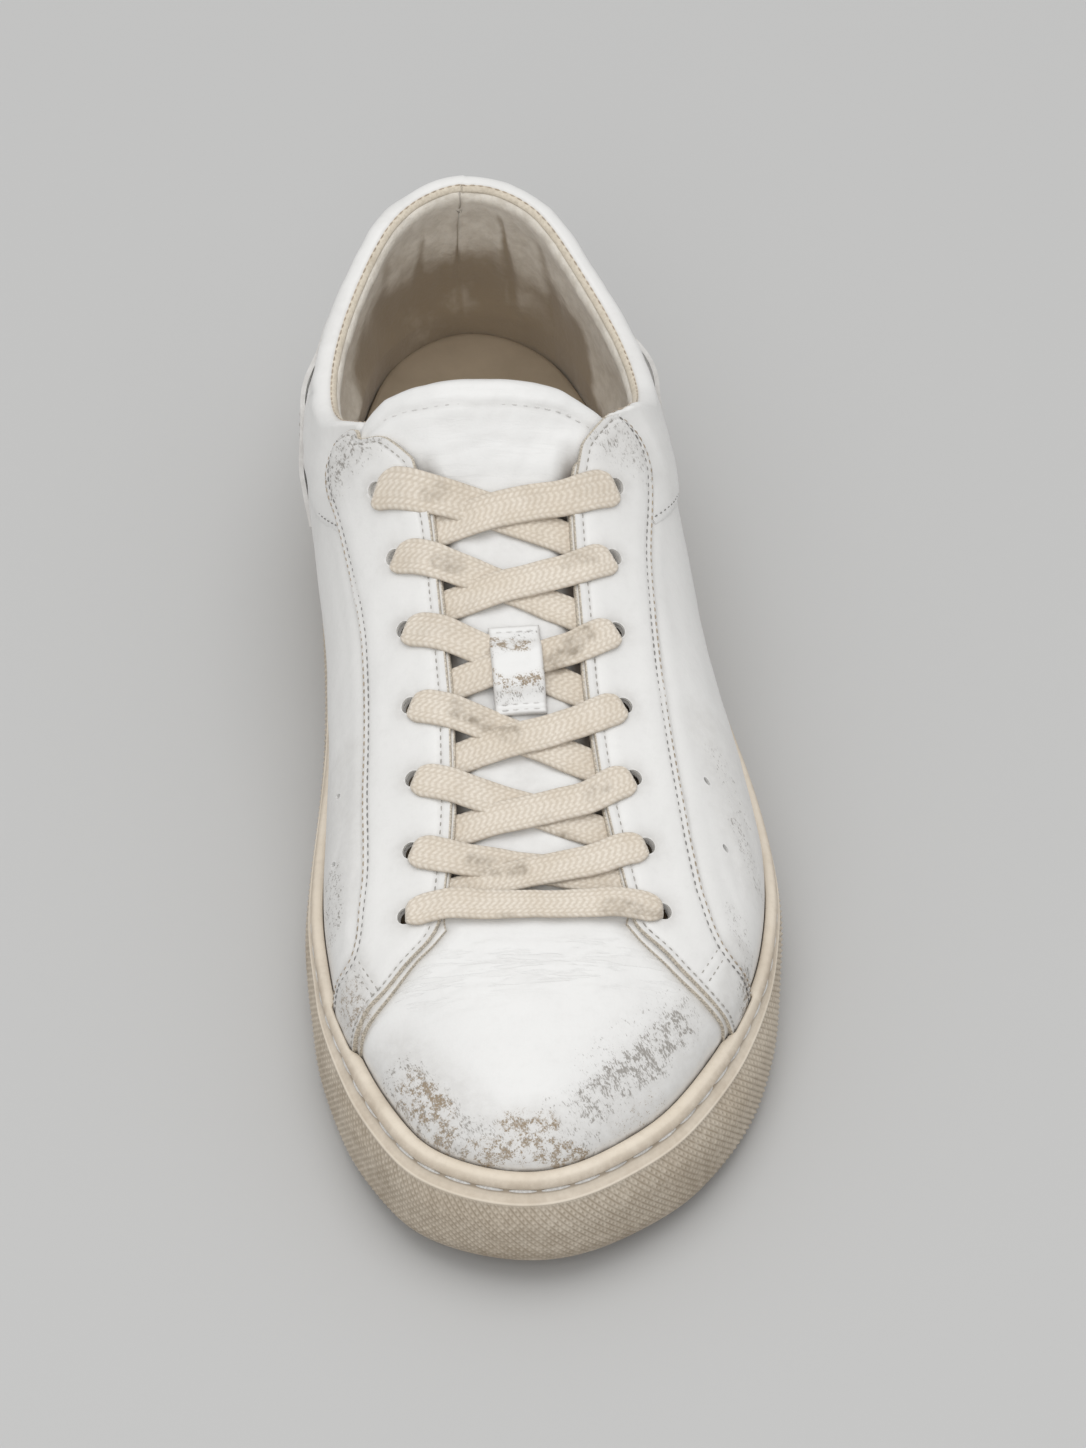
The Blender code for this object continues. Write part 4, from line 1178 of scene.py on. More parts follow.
def make_quarter(outer):
    """A side of the upper, from the heel to the edge that lies on the vamp."""
    name = "quarter_outer" if outer else "quarter_inner"
    along, sweep = quarter_grid(outer)
    place = place_of(along, outer)
    points, normal, _ = skin(place, sweep, LAYER_IN["quarter"])
    lift = 0.22 * waves(points, 42, 15 + outer, 2) + 0.05 * waves(points, 11, 17 + outer, 3)
    seam_line, _ = facing_at(outer, 1.0, LAYER_IN["quarter"])
    away = nearness(points, seam_line, 9)
    lift += 0.30 * bell(away - 3.6, 2.6) - 0.20 * bell(away, 0.8) + front_rise(points)
    for line, depth, width in SIDE_CREASES[outer]:
        lift += crease(points, line, depth, width, 0.8, int(width * 10))
    lift *= ease((sweep + 0.02) / 0.1)
    points = pushed(points, normal, lift)
    rise = np.maximum(sweep, 0)
    # Soiling at the rim, and a painted shadow along the facing's seam.
    dirt_and_shade = 0.65 * np.exp(-rise / 0.035) + 0.22 * np.exp(-rise / 0.16) + 0.50 * bell(away, 0.7)
    facing_front, _ = facing_at(outer, 0.0, LAYER_IN["quarter"])
    # Painted shadow in the groove along the facing's front edge.
    groove = 0.45 * bell(nearness(points, facing_front[THROAT_STEPS:], 4), 0.7)
    wear_and_shade = side_wear(points, outer)
    dirt_and_shade = strongest(dirt_and_shade, groove, wear_and_shade.pop("grime"))
    cut = np.zeros(sweep.shape)
    cut[-1] = 0.6 * ease((along[-1] - 112) / 4)
    cut[:, -1] = 0.55
    return leather_panel(name, points, normal, 1.3, marks_of(points, grime=dirt_and_shade, cut=cut, **wear_and_shade),
                         white_leather(name + "_leather", SIDE_WHITE_PAINTED_LIGHTER))


SIDE_CREASES = {
    OUTER: [([(46, 192), (49.5, 199), (51.5, 208), (51, 216)], 0.22, 1.1),
            ([(43, 205), (45.5, 214), (46, 224)], 0.18, 1.2),
            ([(41, 218), (44, 224), (45.5, 231)], 0.16, 1.0),
            ([(44, 150), (46.5, 160), (47, 171)], 0.14, 1.6)],
    INNER: [([(-44, 196), (-46.5, 206), (-46.5, 217)], 0.20, 1.2),
            ([(-40.5, 208), (-43, 218), (-43.5, 227)], 0.18, 1.2),
            ([(-40, 150), (-42.5, 160), (-43, 172)], 0.14, 1.6)],
}


def side_wear(points, outer):
    """Scratches and rubbed places on the sides."""
    if outer:
        grey = dabs(points, (0.34, (47, 203), (51, 215), 3.0), (0.50, (47, 240), (45.5, 247), 4.0),
            (0.22, (44, 186), (49, 200), 4.0), (0.26, (44, 228), (47, 236), 4.0))
        brown = dabs(points, (0.45, (46.5, 242), (46, 246), 2.6))
        haze = dabs(points, (0.16, (44, 180), (52, 215), 10), (0.26, (46, 238), (43, 250), 7))
    else:
        grey = dabs(points, (0.32, (-47, 205), (-48, 220), 3.5), (0.30, (-46, 236), (-44, 246), 4))
        brown = dabs(points, (0.40, (-46, 240), (-43.5, 249), 3.4))
        haze = dabs(points, (0.16, (-44, 180), (-48, 215), 10), (0.30, (-46, 236), (-43, 248), 7))
    return {"scuff_grey": grey, "scuff_brown": brown, "grime": haze}


def inner_stitch_distance():
    """How far the inner row of stitches is from the facing's inner edge: nearer along its front."""
    return 2.2 - 0.7 * ease((np.arange(THROAT_STEPS + FRONT_STEPS + 1) - THROAT_STEPS + 6) / 12)


def make_facing(outer):
    """The overlay that carries the eyelets, with its foot running down to the sole."""
    name = "facing_outer" if outer else "facing_inner"
    shares = evenly(36)
    rows = [facing_at(outer, share, LAYER_IN["facing"]) for share in shares]
    points, normal = (np.array(part) for part in zip(*rows))
    width = facing_width(outer)
    from_inner, from_seam = shares[:, None] * width, (1 - shares[:, None]) * width
    lift = 0.12 * waves(points, 26, 25 + outer, 2) + 0.05 * waves(points, 8, 27 + outer, 3)
    inner_row = inner_stitch_distance()
    for away, deep in ((from_seam - 0.45, 0.12), (from_seam - 1.9, 0.22), (from_inner - inner_row, 0.24)):
        lift -= deep * bell(away, 0.5)
    lift += 0.12 * bell(from_seam - 1.15, 0.35) + 0.18 * bell(from_seam - 5.0, 2.4)
    lift += 0.14 * bell(from_inner - 5.0, 1.8) + facing_rise(points)
    for line, _ in cross_seam_lines(outer):
        lift += sunk(points, line, 0.2, 0.7)
    eyelets = [eyelet_frame(row, outer)[0] for row in EYELETS]
    for spot in eyelets:
        lift -= 0.25 * bell(np.linalg.norm(points - spot, axis=-1), 3.4)
    points = pushed(points, normal, lift)
    tips = 0.75 * bell(points[..., 1] - (TIP_ALONG[outer] + 5), 6.5)
    # The outer edge is darkened as a painted edge shadow; the stitch rows, the inner edge and the eyelets'
    # surrounds are darkened too.
    grime = strongest(0.55 * bell(from_seam, 0.5), 0.30 * bell(from_seam - 1.9, 0.5),
                      0.30 * bell(from_inner, 0.7), 0.30 * bell(from_inner - inner_row, 0.5))
    cut = np.zeros(points.shape[:-1])
    cut[0] = 0.8
    for spot in eyelets:
        grime = np.maximum(grime, 0.55 * bell(np.linalg.norm(points - spot, axis=-1), 3.6))
    wear_and_shade = side_wear(points, outer)
    wear_and_shade["grime"] = np.maximum(np.maximum(wear_and_shade["grime"], grime), 0.3 * tips)
    wear_and_shade["scuff_grey"] = np.maximum(wear_and_shade["scuff_grey"], tips * (0.5 if outer else 0.62))
    return leather_panel(name, points, normal, 1.15, marks_of(points, cut=cut, **wear_and_shade),
                         white_leather(name + "_leather", SIDE_WHITE_PAINTED_LIGHTER))


def one_side(row, outer):
    """The (along, reach) of one of a pair of eyelets."""
    return (row.outer, row.outer_reach) if outer else (row.inner, row.inner_reach)


def eyelet_frame(row, outer):
    """The middle of an eyelet on the facing with its normal and its way up the wall."""
    along, reach = one_side(row, outer)
    place = place_of(np.array(along), outer)
    point, normal, up = last_frame(place, sweep_at_reach(place, reach))
    return point - normal * LAYER_IN["facing"], normal, up


def cross_seam_lines(outer):
    """Two rows of stitches across the facing's foot."""
    lines = []
    for ends in CROSS_SEAM[outer]:
        start, end = (np.array(corner, float) for corner in ends)
        line = start + (end - start) * evenly(40)[:, None]
        point, normal, _ = skin(place_of(line[:, 0], outer), line[:, 1], LAYER_IN["facing"])
        lines.append((pushed(point, normal, front_rise(point)), normal))
    return lines


# ---- The padded collar, its lining and the heel counter.

COLLAR_ROLL, EDGE_ROLL = 3.6, 1.35  # radius of the rolled edge where it is padded, and where it is not
LEATHER_TURN = math.radians(96)  # how far over the roll the leather goes, from the outside
BINDING_TURN = math.radians(130)


def places_between(inner_along, outer_along, count):
    """Places from the inner side round the heel to the outer side, evenly spaced along the rim."""
    first, end = place_of(inner_along, INNER) - 1, place_of(outer_along, OUTER)
    rough = np.linspace(first, end, 2000)
    run = run_along(on_ring(rough))
    return np.interp(np.linspace(0, run[-1], count), run, rough)


def opening_sweep(place):
    """Where the opening's edge runs, its corner at the top of the throat rounded."""
    return np.mean([cornered_opening(place + shift) for shift in np.linspace(-0.007, 0.007, 9)], axis=0)


def cornered_opening(place):
    """The opening's edge before rounding: at the collar's height, then along the throat."""
    along = station_of(place)
    collar = sweep_at_height(place, smooth(COLLAR, "height", np.minimum(along, COLLAR[-1].along)))
    facing = sweep_at_reach(place, straight(THROAT, "half_gap", along))
    facing = np.where(along < THROAT[0].along, QUARTER, facing)
    return np.where(along < COLLAR[-1].along, np.minimum(collar, facing), facing)


def roll_radius(along):
    return EDGE_ROLL + (COLLAR_ROLL - EDGE_ROLL) * ease((COLLAR_FRONT + 7 - along) / 22)


def under_facing(along, sweep, place):
    """How far a place is under the facing, from 0 to 1."""
    cover = np.zeros(np.shape(along))
    outer_side = on_outer(place)
    for outer in (OUTER, INNER):
        seam = reach_to_sweep(FACING_SEAM[outer][1:], outer)
        line = np.interp(along, seam[:, 0], seam[:, 1])
        inside = ease((sweep - line) / 0.05 + 0.3) * ease((along - TIP_ALONG[outer] + 9) / 9)
        cover = np.where(outer_side == outer, inside, cover)
    return cover


class Roll:
    """The rolled edge of the collar: its middle line with its outward and upward directions."""

    def __init__(self, places):
        self.places, self.along = places, station_of(places)
        self.radius = roll_radius(self.along)
        self.end = opening_sweep(places)
        sink = 2.4 * under_facing(self.along, self.end, places) - 0.6
        point, self.out, self.up = last_frame(places, self.end)
        self.depth = LAYER_IN["collar"] + sink
        self.start = self.end - self.radius / self.wall_length()
        middle = point - self.out * (self.depth + self.radius)[:, None]
        self.middle = middle - self.up * self.radius[:, None]

    def wall_length(self):
        """Millimetres up the wall for a unit of sweep, near the edge."""
        step = 0.02
        high, low = (last_frame(self.places, self.end - shift)[0] for shift in (0, step))
        return np.linalg.norm(high - low, axis=-1) / step

    def at(self, turn, extra=0.0):
        """Points on the roll, turned from the outside (0) over the top to the inside (half a turn)."""
        way = self.out * math.cos(turn) + self.up * math.sin(turn)
        return self.middle + way * (self.radius + extra)[:, None], way


def collar_foot(along):
    """Height of the stitched line along the foot of the padded collar."""
    return straight(COLLAR_FOOT, "height", np.abs(along))


def make_collar():
    """The padded collar: its leather from the stitched line over the roll."""
    places = places_between(111, 115, 300)
    roll = Roll(places)
    side = np.where(on_outer(places), 1, -1)
    forward = side * 0.018 * ease((roll.along - 92) / 20)
    foot = sweep_at_height(places + forward, collar_foot(station_of(places + forward)) - 1.2)
    foot = np.minimum(foot, roll.start - 0.02)
    rows, ways = [], []
    base = last_frame(places, roll.start)
    top, _ = roll.at(0.0)
    shift = top - (base[0] - base[1] * roll.depth[:, None])
    full = ease((112 - roll.along) / 16)
    for share in evenly(40):
        sweep = foot + (roll.start - foot) * share
        spread = places + forward * (1 - ease(share))
        cover = under_facing(station_of(spread), sweep, spread)
        point, normal, _ = last_frame(spread, sweep)
        puff = (0.25 + 1.0 * full) * math.sin(math.pi * min(1.0, share * 1.02)) ** 0.7 * (1 - cover)
        step = 0.28 * math.exp(-(share * 26) / 1.2)
        wall = LAYER_IN["collar"] + 0.9 * cover - puff + step
        depth = wall + (roll.depth - wall) * ease(share)
        rows.append(point - normal * depth[:, None] + shift * ease(share) ** 2)
        ways.append(normal)
    for turn in np.linspace(0, LEATHER_TURN, 16)[1:]:
        point, way = roll.at(turn)
        rows.append(point)
        ways.append(way)
    points, normal = np.array(rows), np.array(ways)
    lift = 0.20 * waves(points, 22, 41, 2) + 0.07 * waves(points, 7, 42, 2)
    lift[-5:] *= np.linspace(0.8, 0.2, 5)[:, None]
    for line in collar_seams():
        lift += sunk(points, line, 0.35, 0.8)
    points = pushed(points, normal, lift)
    edge = bell(np.arange(len(points)) - (len(points) - 1), 1.2)[:, None]
    grime = np.maximum(0.4 * edge + 0 * lift, 0.14 * np.clip(waves(points, 30, 43), 0, 1))
    collar = leather_panel("collar", points, normal, 0.9, marks_of(points, grime=grime),
                           white_leather("collar_leather", SIDE_WHITE_PAINTED_LIGHTER))


COLLAR_SEAM = {
    OUTER: table(Edge, (83, 74), (90, 81), (98, 90)),
    INNER: table(Edge, (66, 60), (78, 73), (86, 80.5)),
}


def collar_seams():
    """The seams across the padded collar on either side, where its back meets its front."""
    lines = []
    for outer, rows in COLLAR_SEAM.items():
        share = evenly(30)
        along = np.interp(share, [0, 0.5, 1], [row.along for row in rows])
        height = np.interp(share, [0, 0.5, 1], [row.height for row in rows])
        place = place_of(along, outer)
        sweep = np.minimum(sweep_at_height(place, height), opening_sweep(place))
        lines.append(last(place, sweep, LAYER_IN["collar"] - 1.0))
    return lines


PLEATS = [(-3.0, 1.3, 1.4), (11.5, 1.0, 1.7), (-14.0, 0.6, 2.2), (22, 0.5, 2.5), (-24, 0.4, 2.5)]


def make_collar_lining():
    """The napped lining from the binding down to the footbed, with the pleats it has at the heel."""
    places = places_between(150, 150, 300)
    roll = Roll(places)
    rows, ways, shade = [], [], []
    for turn in np.linspace(BINDING_TURN - 0.25, math.pi, 8):
        point, way = roll.at(turn, -0.12)
        rows.append(point)
        ways.append(way)
        shade.append(0.0)
    run = on_ring(places)[:, 0]
    foot = -0.22 * ease((170 - roll.along) / 60) - 0.02
    inner_top = roll.depth + 2 * roll.radius - 0.12
    base = last_frame(places, roll.start)
    shift = rows[-1] - (base[0] - base[1] * inner_top[:, None])
    for share in evenly(46)[1:]:
        sweep = roll.start + (foot - roll.start) * share
        point, normal, _ = last_frame(places, sweep)
        depth = inner_top + (2.15 - inner_top) * ease(share / 0.62)
        hollow = -0.9 * math.exp(-((share - 0.16) / 0.1) ** 2) * ease((108 - roll.along) / 16)
        point = point - normal * (depth + hollow)[:, None] + shift * (1 - ease(share * 1.4))
        point[:, 2] -= BELOW_RIM * np.maximum(-sweep, 0)
        rows.append(point)
        ways.append(-normal)
        shade.append(share)
    points, normal = np.array(rows), np.array(ways)
    shade = np.array(shade)[:, None]
    lift = 0.45 * waves(points, 30, 51, 2) * ease(shade * 3) + 0.12 * waves(points, 9, 52, 2)
    heel = ease((46 - roll.along) / 20)
    fold = 0 * lift
    for place, depth, width in PLEATS:
        away = (run - place - 2.5 * shade) / width
        reach = depth * heel * ease(shade * 6) * ease((0.9 - shade) / 0.5)
        lift += reach * (0.9 * np.exp(-(away - 1.3) ** 2) + 0.7 * np.exp(-(away + 1.3) ** 2))
        # Painted shade in the pleats' folds.
        fold += 0.8 * reach * bell(away, 0.5)
    points = pushed(points, normal, np.maximum(lift, -0.3))
    darkened = 0.95 * ease((shade - 0.22 - 0.40 * (1 - heel)) / 0.32) + fold
    darkened = darkened + 0.22 * waves(points, 24, 53) * ease(shade * 4)
    return cloth_strip("collar_lining", points, normal, collar_lining_cloth(), grime=np.clip(darkened, 0, 1))


CLOTH_THICK = 0.5


def cloth_strip(name, points, outward, material, **marks):
    """Thin cloth laid under a grid of points, with its face outwards."""
    piece = new_sheet(name, points)
    mark(piece, **marks)
    face_along(piece, points, outward)
    apply(piece, "SOLIDIFY", thickness=CLOTH_THICK * MM, offset=-1)
    return dress(piece, "upper", material)


def make_collar_binding():
    """The strip that binds the collar's leather to its lining."""
    places = places_between(111, 115, 300)
    roll = Roll(places)
    stands_off = (-0.5, 0.02, 0.16, 0.22, 0.22, 0.2, 0.14, 0, -0.5)
    turns = np.linspace(LEATHER_TURN - 0.12, BINDING_TURN, len(stands_off))
    rows = [roll.at(turn, extra) for turn, extra in zip(turns, stands_off)]
    points, normal = (np.array(part) for part in zip(*rows))
    points = pushed(points, normal, 0.05 * waves(points, 5, 61, 2))
    return cloth_strip("collar_binding", points, normal, binding_cloth())


COUNTER_END = 88.0


def counter_gape(places):
    """How far the counter's top edge stands off at the corner where it has come loose."""
    loose = np.where(on_outer(places), 2.0, 1.5)
    return loose * bell(station_of(places) - 62.5, 6.0)


def make_heel_counter():
    """The leather overlay round the heel, which stands off a little at the front of its top edge."""
    places = places_between(COUNTER_END, COUNTER_END, 220)
    along = station_of(places)
    rim_rows = np.linspace(FOOT_SWEEP, 0, 3)[:-1]
    top = sweep_at_height(places, smooth_counter_top(along))
    rows = [np.full(len(places), sweep) for sweep in rim_rows]
    rows += [top * share ** ROW_POWER for share in evenly(44)]
    sweep = np.array(rows)
    points, normal, _ = skin(places, sweep, LAYER_IN["counter"])
    share = np.maximum(sweep, 0) / top
    lift = 0.18 * waves(points, 34, 71, 2) + 0.05 * waves(points, 9, 72, 3)
    lift += counter_gape(places) * ease((share - 0.72) / 0.28)
    edge = (1 - share) * top * 46
    lift -= 0.24 * bell(edge - 2.4, 0.6)
    ends = COUNTER_END - along + 0 * share
    lift -= 0.24 * bell(ends - 2.4, 0.6) * (edge > 2.0)
    points = pushed(points, normal, lift * ease((sweep + 0.02) / 0.08))
    rise = np.maximum(sweep, 0)
    grime = np.maximum(0.65 * np.exp(-rise / 0.035) + 0.2 * np.exp(-rise / 0.2), 0.5 * bell(edge, 0.7))
    return leather_panel("counter_leather", points, normal, 1.15, marks_of(points, grime=grime),
                         white_leather("heel_counter_skin", SIDE_WHITE_PAINTED_LIGHTER), "heel_counter")


def smooth_counter_top(along):
    """The counter's top edge with its corners rounded."""
    spots = np.linspace(-3, 3, 7)
    return np.mean([straight(COUNTER_TOP, "height", along + spot) for spot in spots], axis=0)


# ---- Tongue, footbed and lace loop.

def padded_slab(name, node, top, under, material, **marks):
    """A closed slab between two grids of points of the same size."""
    piece = new_sheet(name, top)
    mark(piece, **marks)
    face_along(piece, top, top - under)
    apply(piece, "SOLIDIFY", thickness=MM, offset=-1)
    both = np.concatenate([to_world(top).reshape(-1, 3), to_world(under).reshape(-1, 3)]).astype(np.float32)
    piece.data.vertices.foreach_set("co", both.ravel())
    piece.data.update()
    return dress(piece, node, material)


TONGUE_TOE = 246.0
TONGUE_DEPTH, TONGUE_THICK = 2.3, 3.0
TONGUE_HEM = 6.7  # from the top edge down to the line of stitches


def tongue_brink(share):
    """The tongue's top edge as (along, reach), from its inner corner (0) to its outer corner (1)."""
    rows = np.array(TONGUE_BRINK, float)
    run = run_along(rows)
    return tuple(np.interp(share * run[-1], run, rows[:, axis]) for axis in (0, 1))


def tongue_sink(along):
    return straight(TONGUE_SINK, "sink", along) * ease((along - 112) / 6)


def make_tongue():
    """The padded tongue, with the stitched line under its top."""
    share = evenly(100)[None, :]
    down = evenly(150)[:, None] ** 1.15
    start, first_reach = tongue_brink(share)
    along = start + (TONGUE_TOE - start) * down
    wide = np.interp(along, [106, 150, 222, 246], [30, 28, 27, 27])
    blend = ease((along - start) / 26)
    reach = first_reach * (1 - blend) + (2 * share - 1) * wide * blend
    from_top = (along - start) * 1.25
    from_side = np.minimum(share, 1 - share) * 2 * wide
    edge = np.minimum(from_top, from_side)
    round_off = 1.5 * (1 - np.sqrt(1 - (1 - np.clip(edge / 2.2, 0, 1)) ** 2))
    pad = 0.9 * ease(edge / 6) * ease((40 - from_top) / 25)
    middle = across(along, reach, 0.0)
    gap = straight(THROAT, "half_gap", along)
    flanks = ease((np.abs(reach) - gap + 5.0) / 4.5) * ease((along - 118) / 7)
    hem = bell(from_top - TONGUE_HEM - 0.4 * waves(middle, 12, 84, 2), 1.0)
    lift = pad - round_off - 0.40 * hem - 1.2 * flanks + 2.0 * ease((30 - from_top) / 20)
    lift += 0.26 * waves(middle, 22, 81, 2) + 0.10 * waves(middle, 7, 82, 2)
    lift += crease(middle, [(-22, 121), (-8, 119.5), (8, 120), (20, 122)], 0.35, 1.6, 1.2, 8)
    lift += crease(middle, [(-14, 127.5), (0, 126.5), (12, 128)], 0.22, 1.3, 1.2, 9)
    top = across(along, reach, TONGUE_DEPTH + tongue_sink(along) - lift)
    under = across(along, reach, TONGUE_DEPTH + tongue_sink(along) + TONGUE_THICK - round_off)
    grime = np.maximum(0.30 * bell(edge, 1.0), 0.22 * ease((along - 128) / 10)
                       * (0.5 + 0.5 * waves(middle, 14, 83)))
    # Painted shadow on the tongue's flanks under the facings' edges, with the soiling of its edges, hem and
    # lower part.
    grime = strongest(grime, 0.14 * hem, 0.5 * flanks)
    # Painted shade, deepest beside the outer facing's edge.
    shade = np.where(reach > 0, 0.9, 0.7) * ease((np.abs(reach) - gap + 3.2) / 3.0) * ease((along - 120) / 8)
    tongue = padded_slab("tongue_leather", "tongue", top, under, white_leather("tongue_skin"),
                         **marks_of(top, grime=grime, shade=shade, flex=0.3 * ease((40 - from_top) / 20)))


LOOP_START, LOOP_END, LOOP_WIDTH, LOOP_THICK = 162.4, 184.3, 12.4, 1.3
LOOP_ARCH = ([0, 0.05, 0.16, 0.30, 0.72, 0.84, 0.95, 1], [-1.9, -1.75, -1.5, 0.55, 0.75, -1.3, -1.75, -1.9])


def make_lace_loop():
    """A leather keeper sewn to the tongue at both ends, over a crossing of the lace."""
    share, side = evenly(90)[:, None], np.linspace(-1, 1, 40)[None, :]
    soft = np.linspace(-0.05, 0.05, 9)
    rise = np.mean([np.interp(share + shift, *LOOP_ARCH) for shift in soft], axis=0)
    along = LOOP_START + (LOOP_END - LOOP_START) * share + 0 * side
    reach = side * LOOP_WIDTH / 2 * (1 - 0.03 * np.sin(np.pi * share)) + 0.3
    middle = across(along, reach, 0.0)
    edge = np.minimum((1 - np.abs(side)) * LOOP_WIDTH / 2, np.minimum(share, 1 - share) * 26)
    round_off = 0.5 * (1 - np.sqrt(1 - (1 - np.clip(edge / 0.8, 0, 1)) ** 2))
    lift = 0.12 * waves(middle, 9, 91, 2) + 0.12 * np.cos(side * QUARTER)
    for spot in (0.07, 0.90, 0.955):
        lift -= 0.18 * bell(share - spot, 0.018)
    top = across(along, reach, -(rise + LOOP_THICK + lift - round_off))
    under = across(along, reach, -(rise + round_off * 0.4))
    brown = dabs(middle, (0.55, (-8, 166), (1, 168), 2.8), (0.52, (-2, 177.5), (5, 175.5), 2.8),
        (0.45, (-8, 174), (-4, 178), 2.4), (0.4, (-8.5, 163), (-8, 183), 1.2))
    grey = dabs(middle, (0.36, (-7, 169), (3, 165), 3), (0.36, (-6, 180), (4, 178), 2.8))
    return padded_slab("lace_keeper", "lace_loop", top, under, white_leather("lace_keeper_skin"),
                       **marks_of(top, scuff_brown=brown, scuff_grey=grey, grime=0.4 * bell(edge, 0.7)))


INSOLE_OUT, INSOLE_LIFT, INSOLE_THICKNESS = -2.3, 0.3, 4.5


def insole_foot(along):
    return cup_floor(along) + INSOLE_LIFT


def insole_top(along):
    return cup_floor(along) + INSOLE_LIFT + INSOLE_THICKNESS


def make_insole():
    """The footbed, dished a little where the foot has pressed it."""
    places = even_places(lambda along: 0 * along + INSOLE_OUT, 260)
    rim = outline_out(places, INSOLE_OUT, insole_top(station_of(places)))
    foot = outline_out(places, INSOLE_OUT, insole_foot(station_of(places)))
    rows = [drawn_in(foot, share, insole_foot, places) for share in (1.0, 0.6, 0.25)] + [foot]
    edge = rim.copy()
    edge[..., 2] -= 0.9
    rows.append(edge)
    for share in np.concatenate([[0.02], np.linspace(0.05, 1, 30)]):
        ring = drawn_in(rim, share, insole_top, places)
        ring[..., 2] -= 0.9 * ease(share / 0.35) * (1 - 0.8 * ease((share - 0.6) / 0.4))
        ring[..., 2] += 0.10 * waves(ring, 25, 95, 2) * (share < 0.97)
        rows.append(ring)
    rows[-1][..., 2] = insole_top(rows[-1][..., 1]) - 0.55
    insole = new_sheet("footbed", np.array(rows))
    edit(insole, MERGE, FACE_OUT)
    return dress(insole, "insole", insole_leather())


# ---- The lace, as straps of flat braid that go down through the eyelets.

LACE_WIDTH, LACE_THICK = 8.0, 1.25
OVER_FACING = 0.95  # height of a strap's underside over the facing, from the last
ON_TONGUE = -2.15  # and on the tongue
UNDER_QUARTER = -3.0  # and where it comes out from under the throat's edge
BRAID_ROWS, BRAID_PITCH, BRAID_SLANT = 7, 1.5, 0.6
BRAID_RELIEF = 0.18
STRAP_STEP = 0.32
SECTION_TOP = 27  # points across a strap's top


def strap_path(start, edge, end):
    """A run of (along, reach) points from under one side to the eyelet on the other, straight but for a soft
    bend at the facing's edge."""
    corner = np.array([start, edge, end], float)
    legs = [np.linalg.norm(corner[1] - corner[0]), np.linalg.norm(corner[2] - corner[1])]
    total = sum(legs)
    share = np.linspace(0, 1, int(total / STRAP_STEP))
    run = share * total
    spread = np.linspace(-3.5, 3.5, 15)
    points = [np.stack([np.interp(np.clip(run + move, 0, total), [0, legs[0], total], corner[:, axis])
                        for axis in (0, 1)], -1) for move in spread]
    points = np.mean(points, axis=0)
    share = share[:, None]
    return points + (corner[0] - points[0]) * (1 - share) ** 3 + (corner[2] - points[-1]) * share ** 3


def strap_section():
    """The strap's section as (across from -1 to 1, height from 0 to 1): its top, then its underside."""
    top = np.sin(np.linspace(-QUARTER, QUARTER, SECTION_TOP) * 0.93) / math.sin(QUARTER * 0.93)
    round_off = (1 - np.abs(top) ** 7) ** 0.5
    under = np.array([0.8, 0.3, -0.3, -0.8])
    return np.concatenate([top, under]), np.concatenate([0.45 + 0.55 * round_off, [0.08, 0, 0, 0.08]])


def braid(run, side):
    """The height and the hollows of a flat braid: rows of slanted stitches that turn from row to row."""
    row = (side + 1) / 2 * BRAID_ROWS
    index = np.floor(np.clip(row, 0, BRAID_ROWS - 1e-6))
    inside = row - index
    way = np.where(index % 2 == 0, 1.0, -1.0)
    phase = run / BRAID_PITCH + 0.13 * index ** 2 + way * (inside - 0.5) * BRAID_SLANT
    stitch = 0.5 + 0.5 * np.cos(2 * np.pi * phase)
    ridge = np.sin(np.pi * np.clip(inside, 0, 1)) ** 0.5
    return stitch ** 0.7 * ridge


def make_strap(name, path, heights, plunges):
    """One strap over a path, at heights over the last, with ends that dive into their eyelets."""
    side, level = strap_section()
    run = run_along(path)
    left = np.where(plunges[1], run[-1] - run, 99.0)
    left = np.minimum(left, np.where(plunges[0], run, 99.0))
    dive = np.clip((2.2 - left) / 2.2, 0, 1)
    narrow = 0.22 + 0.78 * (1 - (1 - np.clip(left / 4.8, 0, 1)) ** 2) ** 0.75
    drop = 3.6 * (1 - np.sqrt(1 - np.minimum(dive, 0.999) ** 2.2))
    way = unit(np.gradient(path, axis=0))
    aside = np.stack([-way[:, 1], way[:, 0]], 1) * LACE_WIDTH / 2 * narrow[:, None]
    wander = 0.10 * waves(np.stack([run, 0 * run, 0 * run + hash_of(name)], 1), 17, 5, 2)
    spots = path[:, None, :] + aside[:, None, :] * side[None, :, None]
    spots[..., 0] += 1.6 * wander[:, None]
    cup = 0.10 * (side ** 2)[None, :] * (left > 5)[:, None]
    relief = braid(run[:, None], side[None, :SECTION_TOP])
    relief = np.concatenate([relief, np.zeros((len(run), len(side) - SECTION_TOP))], 1)
    height = (heights[:, None] - drop[:, None] + level[None, :] * LACE_THICK
              + BRAID_RELIEF * (relief - 0.5) + cup)
    height += 0.16 * waves(np.stack([spots[..., 0], spots[..., 1], height], -1), 12, 7, 2)
    points = across(spots[..., 0], spots[..., 1], -height)
    points = np.concatenate([points, points[:, :1]], 1)
    valley = np.concatenate([1 - relief, 1 - relief[:, :1]], 1)
    # Soiling, darker at the strap's edges, and painted shade where the strap dives into its eyelet.
    soil_and_shade = np.maximum(lace_dirt(points), 0.30 * np.abs(np.append(side, side[0]))[None, :] ** 6 + 0 * valley)
    soil_and_shade = np.maximum(soil_and_shade, 0.35 * dive[:, None])
    strap = new_sheet(name, points)
    mark(strap, valley=valley, grime=np.clip(soil_and_shade, 0, 1))
    edit(strap, MERGE, PICK_NONE, PICK_OPEN_EDGES, CLOSE_ENDS)
    edit(strap, FACE_OUT)
    return strap


